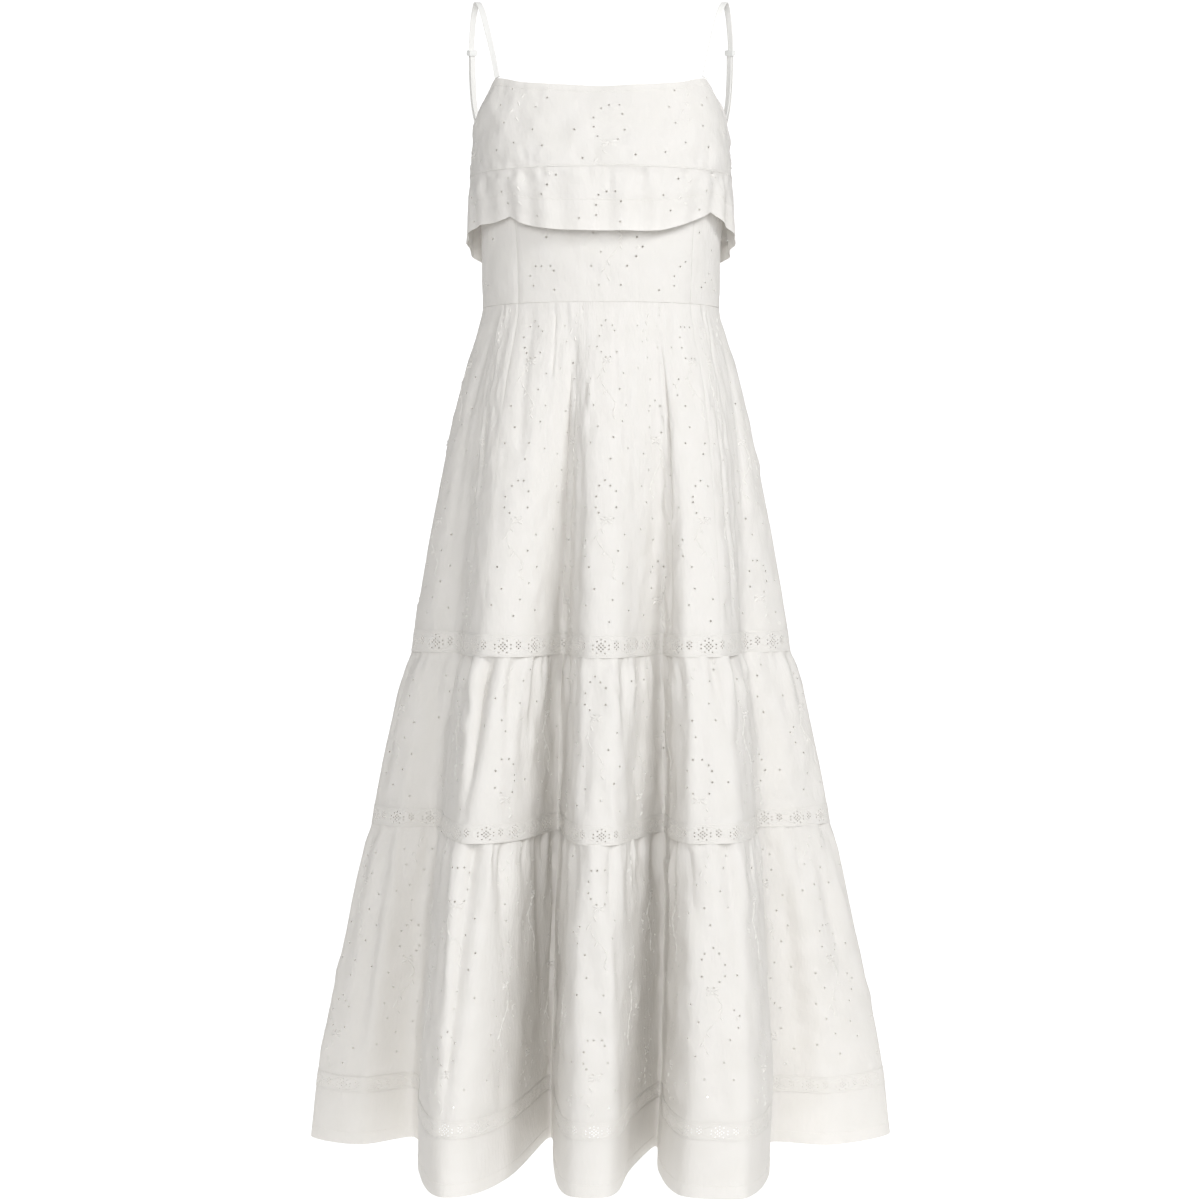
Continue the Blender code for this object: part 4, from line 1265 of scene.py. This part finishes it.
def build_overlay():
    for half, start, end in HALVES:
        sheet = upper_sheet(start, end, top_edge, level(RUFFLE_TOP + SEAM / 2), overlay_off, UPPER_CELL,
                            rows_for(OVERLAY_HEAD, RUFFLE_TOP, OVERLAY_ROW), overlay_lift(SEED + 200 + start))
        rows = [stitch_line(sheet, depth) for depth in (NECK_STITCHES, sheet.down[-1] - SEAM_STITCHES)]
        add_cloth("overlay_" + half, sheet,
                  rows)
        sheet = upper_sheet(start, end, level(RUFFLE_TOP - SEAM / 2), ruffle_hem, ruffle_off, UPPER_CELL,
                            rows_for(RUFFLE_TOP, RUFFLE_FOOT, OVERLAY_ROW), ruffle_lift(SEED + 300 + start))
        rows = [stitch_line(sheet, sheet.down[-1] - RUFFLE_HEM_DEPTH)]
        add_cloth("overlay_ruffle_" + half, sheet, rows)


def build_first_tier():
    top, foot = WAIST_Z - SEAM / 2, LACE_1_TOP + SEAM / 2
    for panel, start, end in PANELS:
        sheet = skirt_sheet(place_of(start) + SEAM / 2, place_of(end) - SEAM / 2, top, foot, CELL,
                            rows_for(top, foot), first_tier_lift(SEED + 40))
        add_cloth("tier_1_" + panel, sheet)


def build_lower_skirt():
    bands = (("lace_1_", LACE_1_TOP, LACE_1_HEIGHT), ("lace_2_", LACE_2_TOP, LACE_2_HEIGHT),
             ("lace_3_", LACE_3_TOP, LACE_3_HEIGHT))
    for index, (half, start, end) in enumerate(HALVES):
        start = place_of(start) + SEAM / 2
        end = (place_of(end) if end < 270 else ROUND) - SEAM / 2
        tiers = (("tier_2_", bands[0], bands[1], TIER_2_WAVES[index]),
                 ("tier_3_", bands[1], bands[2], TIER_3_WAVES[index]))
        add_lace(bands[0][0] + half, start, end, bands[0])
        for word, upper, lower, waves in tiers:
            top, foot = upper[1] - upper[2] - SEAM / 2, lower[1] + SEAM / 2
            sheet = skirt_sheet(start, end, top, foot, CELL, rows_for(top, foot),
                                tier_lift(start, end, top, foot, waves, SEED + 60 + waves))
            add_cloth(word + half, sheet)
            add_lace(lower[0] + half, start, end, lower)
        top = LACE_3_TOP - LACE_3_HEIGHT
        sheet = skirt_sheet(start, end, top, HEM_Z, CELL, rows_for(top, HEM_Z, HEM_ROW), hem_lift)
        add_cloth("hem_band_" + half, sheet,
                  [stitch_line(sheet, sheet.down[-1] - HEM_STITCHES)], pattern=False)


def add_lace(node, start, end, band):
    """A band of insertion lace that laps over the cloth above and below it, in place of its solid."""
    _, top, height = band
    top, foot = top + LACE_OVERLAP, top - height - LACE_OVERLAP
    cell = LACE_REPEAT / LACE_CELLS_PER_REPEAT
    sheet = skirt_sheet(start, end, top, foot, cell, len(LACE_CHART), flat_lift, LACE_OFF)
    radius = LAST_LACE_HOLE if "lace_3" in node else LACE_HOLE
    holes = lace_holes(sheet, radius)
    obj = keep(add_shell(node + "_lace", sheet, LACE_THICK, LACE, holes, LACE_HOLE_SIDES))
    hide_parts(node)
    trim = add_trim(node + "_cords", lace_cords(sheet), THREAD)


# Straps


def strap_frames(steps):
    """Places along the right strap's smooth middle line, with its width and face directions."""
    spots = np.array([(point.x, point.y, point.z) for point in STRAP])
    turns = np.array([point.turn for point in STRAP])
    knots = lengths_along(spots)
    low = np.maximum(np.arange(len(spots)) - 1, 0)
    high = np.minimum(np.arange(len(spots)) + 1, len(spots) - 1)
    slopes = (spots[high] - spots[low]) / (knots[high] - knots[low])[:, None]
    at = np.linspace(0, len(spots) - 1, (len(spots) - 1) * steps + 1)
    i = np.minimum(at.astype(int), len(spots) - 2)
    share = (at - i)[:, None]
    step = (knots[i + 1] - knots[i])[:, None]
    places = hermite(share, step, spots[i], spots[i + 1], slopes[i], slopes[i + 1])
    along = unit(slopes[i] + share * (slopes[i + 1] - slopes[i]))
    turn = np.radians(turns[i] + share[:, 0] * (turns[i + 1] - turns[i]))
    across = np.stack((np.cos(turn), np.sin(turn), np.zeros_like(turn)), axis=1)
    across = unit(across - along * (across * along).sum(axis=1, keepdims=True))
    return places, across, unit(np.cross(across, along))


STRAP_STEPS = 10
STRAP_HALF_THICK = 0.8 * MM
RETURN_RIPPLE = 0.35 * MM
RETURN_RIPPLE_TURN = 9
SLIDER_BEVEL = 0.25 * MM
# The strap's section: a flat band with rounded edges, as shares of its half width and half thickness
STRAP_SECTION = ((-1.0, 0.0), (-0.93, -0.75), (-0.72, -1.0), (-0.5, -0.86), (0.5, -0.86), (0.72, -1.0),
                 (0.93, -0.75), (1.0, 0.0), (0.93, 0.75), (0.72, 1.0), (0.5, 0.86), (-0.5, 0.86),
                 (-0.72, 1.0), (-0.93, 0.75))


def add_strap(name, node, places, across, face, side):
    """A ribbon along its frames with the section of a folded and edge-stitched strap."""
    section = np.array(STRAP_SECTION)
    points = (places[:, None] + across[:, None] * (section[None, :, :1] * STRAP_WIDTH / 2)
              + face[:, None] * (section[None, :, 1:] * STRAP_HALF_THICK))
    points[..., 0] *= side
    rows, columns = points.shape[:2]
    index = np.arange(rows * columns).reshape(rows, columns)
    after = np.roll(index, -1, axis=1)
    faces = np.stack((index[:-1], after[:-1], after[1:], index[1:]), axis=-1).reshape(-1, 4).tolist()
    faces += [index[0][::-1].tolist(), index[-1].tolist()]
    if side < 0:
        faces = [face[::-1] for face in faces]
    length = lengths_along(places)
    uvs = np.stack((np.tile(section[:, 0] * STRAP_WIDTH / 2, rows), np.repeat(length, columns)), axis=1)
    obj = keep(mesh_object(name, points.reshape(-1, 3), faces, uvs, STRAP_COTTON))
    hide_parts(node)
    return obj


def build_straps():
    places, across, face = strap_frames(STRAP_STEPS)
    slider = SLIDER_AT * STRAP_STEPS
    for side, word in ((-1, "left"), (1, "right")):
        add_strap("strap_%s_cotton" % word, "strap_" + word, places, across, face, side)
        ripple = RETURN_RIPPLE * np.sin(np.linspace(0, RETURN_RIPPLE_TURN, len(places) - slider))[:, None]
        back = places[slider:] - face[slider:] * (RETURN_OFF + ripple)
        add_strap("strap_%s_doubled" % word, "strap_return_" + word, back, across[slider:], face[slider:],
                  side)
        frame_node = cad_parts["slider_" + word]
        bevel = frame_node.modifiers.new("rounded edges", "BEVEL")
        bevel.width = SLIDER_BEVEL
        bevel.segments = 2
        frame_node.data.materials.clear()
        frame_node.data.materials.append(COATED_STEEL)


# The studio


FLOOR_Z = -1.470
# The cove's section from the middle out: how far out, and how high
STUDIO = ((0.0, FLOOR_Z), (4.8, FLOOR_Z), (5.8, FLOOR_Z + 0.12), (6.5, FLOOR_Z + 0.5), (6.9, FLOOR_Z + 1.2),
          (7.0, 0.8), (7.0, 4.2))


def build_studio():
    """A pale floor that curves up all round into a pale wall, softly lit."""
    turns = np.radians(np.arange(0, 360, 5))
    points = np.array([(r * math.sin(t), -r * math.cos(t), z) for r, z in STUDIO[1:] for t in turns])
    count = len(turns)
    faces = [list(range(count))]
    for ring in range(len(STUDIO) - 2):
        for k in range(count):
            after = (k + 1) % count
            faces.append([ring * count + after, ring * count + k, (ring + 1) * count + k,
                          (ring + 1) * count + after])
    # Matt white studio paint with a light of its own, brightest on the floor and wall behind the dress
    material, shader = plain_material("studio_paint", "959595", 0.95)
    tree = material.node_tree
    place = add_node(tree, "ShaderNodeNewGeometry").outputs["Position"]
    parts = add_node(tree, "ShaderNodeSeparateXYZ", {"Vector": place})
    aside = add_node(tree, "ShaderNodeMath", {0: parts.outputs["X"]}, operation="ABSOLUTE")
    behind = add_node(tree, "ShaderNodeMath", {0: parts.outputs["Y"], 1: BRIGHT_SPREAD, 2: BRIGHT_HALF_WIDTH},
                      operation="MULTIPLY_ADD")
    inside_edge = add_node(tree, "ShaderNodeMath", {0: behind.outputs["Value"], 1: aside.outputs["Value"]},
                           operation="SUBTRACT")
    across, along = [
        add_node(tree, "ShaderNodeMapRange", {"Value": value, "From Min": fade[0], "From Max": fade[1]},
                 interpolation_type="SMOOTHSTEP")
        for value, fade in ((inside_edge.outputs["Value"], BRIGHT_SIDE_FADE),
                            (parts.outputs["Y"], BRIGHT_FRONT_FADE))]
    bright = add_node(tree, "ShaderNodeMath", {0: across.outputs["Result"], 1: along.outputs["Result"]},
                      operation="MULTIPLY")
    glow = add_node(tree, "ShaderNodeMapRange", {"Value": bright.outputs["Value"], "To Min": GLOW_FRONT,
                                                 "To Max": GLOW_BACK})
    shader.inputs["Emission Color"].default_value = (1.0, 1.0, 1.0, 1.0)
    tree.links.new(glow.outputs["Result"], shader.inputs["Emission Strength"])
    # A light this broad is found by chance, so it isn't aimed at, which makes the picture quicker
    material.cycles.emission_sampling = "NONE"
    cove = mesh_object("studio_cove", points, faces, None, material)


Lamp = namedtuple("Lamp", "name x y z target_z size strength")
GLOW_FRONT = 0.36
GLOW_BACK = 1.02
BRIGHT_SPREAD = 0.27
BRIGHT_HALF_WIDTH = 0.85
BRIGHT_SIDE_FADE = (-1.0, 0.1)
BRIGHT_FRONT_FADE = (-0.65, 0.25)
SKY_STRENGTH = 0.28
LAMP_COLOUR = (0.975, 0.985, 1.0)
LAMPS = (
    Lamp("key", 2.0, -2.4, 1.25, -0.40, 1.3, 58.0),
    Lamp("front", -0.3, -4.4, 0.5, -0.50, 1.8, 90.0),
    Lamp("rim", -2.2, 2.8, 1.6, -0.60, 1.6, 8.0),
)


def build_lights():
    for lamp in LAMPS:
        data = bpy.data.lights.new(lamp.name, "AREA")
        data.shape = "DISK"
        data.size = lamp.size
        data.energy = lamp.strength
        data.color = LAMP_COLOUR
        obj = bpy.data.objects.new(lamp.name, data)
        obj.location = (lamp.x, lamp.y, lamp.z)
        tilt = math.atan2(math.hypot(lamp.x, lamp.y), lamp.z - lamp.target_z)
        obj.rotation_euler = (tilt, 0.0, math.atan2(-lamp.x, lamp.y) + math.pi)
        bpy.context.scene.collection.objects.link(obj)
    world = bpy.data.worlds.new("studio_sky")
    world.use_nodes = True
    background = world.node_tree.nodes["Background"]
    background.inputs["Color"].default_value = (1.0, 1.0, 1.0, 1.0)
    background.inputs["Strength"].default_value = SKY_STRENGTH
    bpy.context.scene.world = world


CAMERA_PLACE = (-0.0012, -3.000, -0.605)
CAMERA_PITCH_DOWN = 1.535
CAMERA_LENS = 77.9


def build_camera():
    data = bpy.data.cameras.new("camera")
    data.lens = CAMERA_LENS
    data.sensor_width = 36.0
    obj = bpy.data.objects.new("camera", data)
    obj.location = CAMERA_PLACE
    obj.rotation_euler = (math.radians(90 - CAMERA_PITCH_DOWN), 0.0, 0.0)
    bpy.context.scene.collection.objects.link(obj)
    bpy.context.scene.camera = obj
    bpy.context.scene.view_settings.view_transform = "Standard"


build_straps()
build_bodice()
build_overlay()
build_first_tier()
build_lower_skirt()
build_studio()
build_lights()
build_camera()
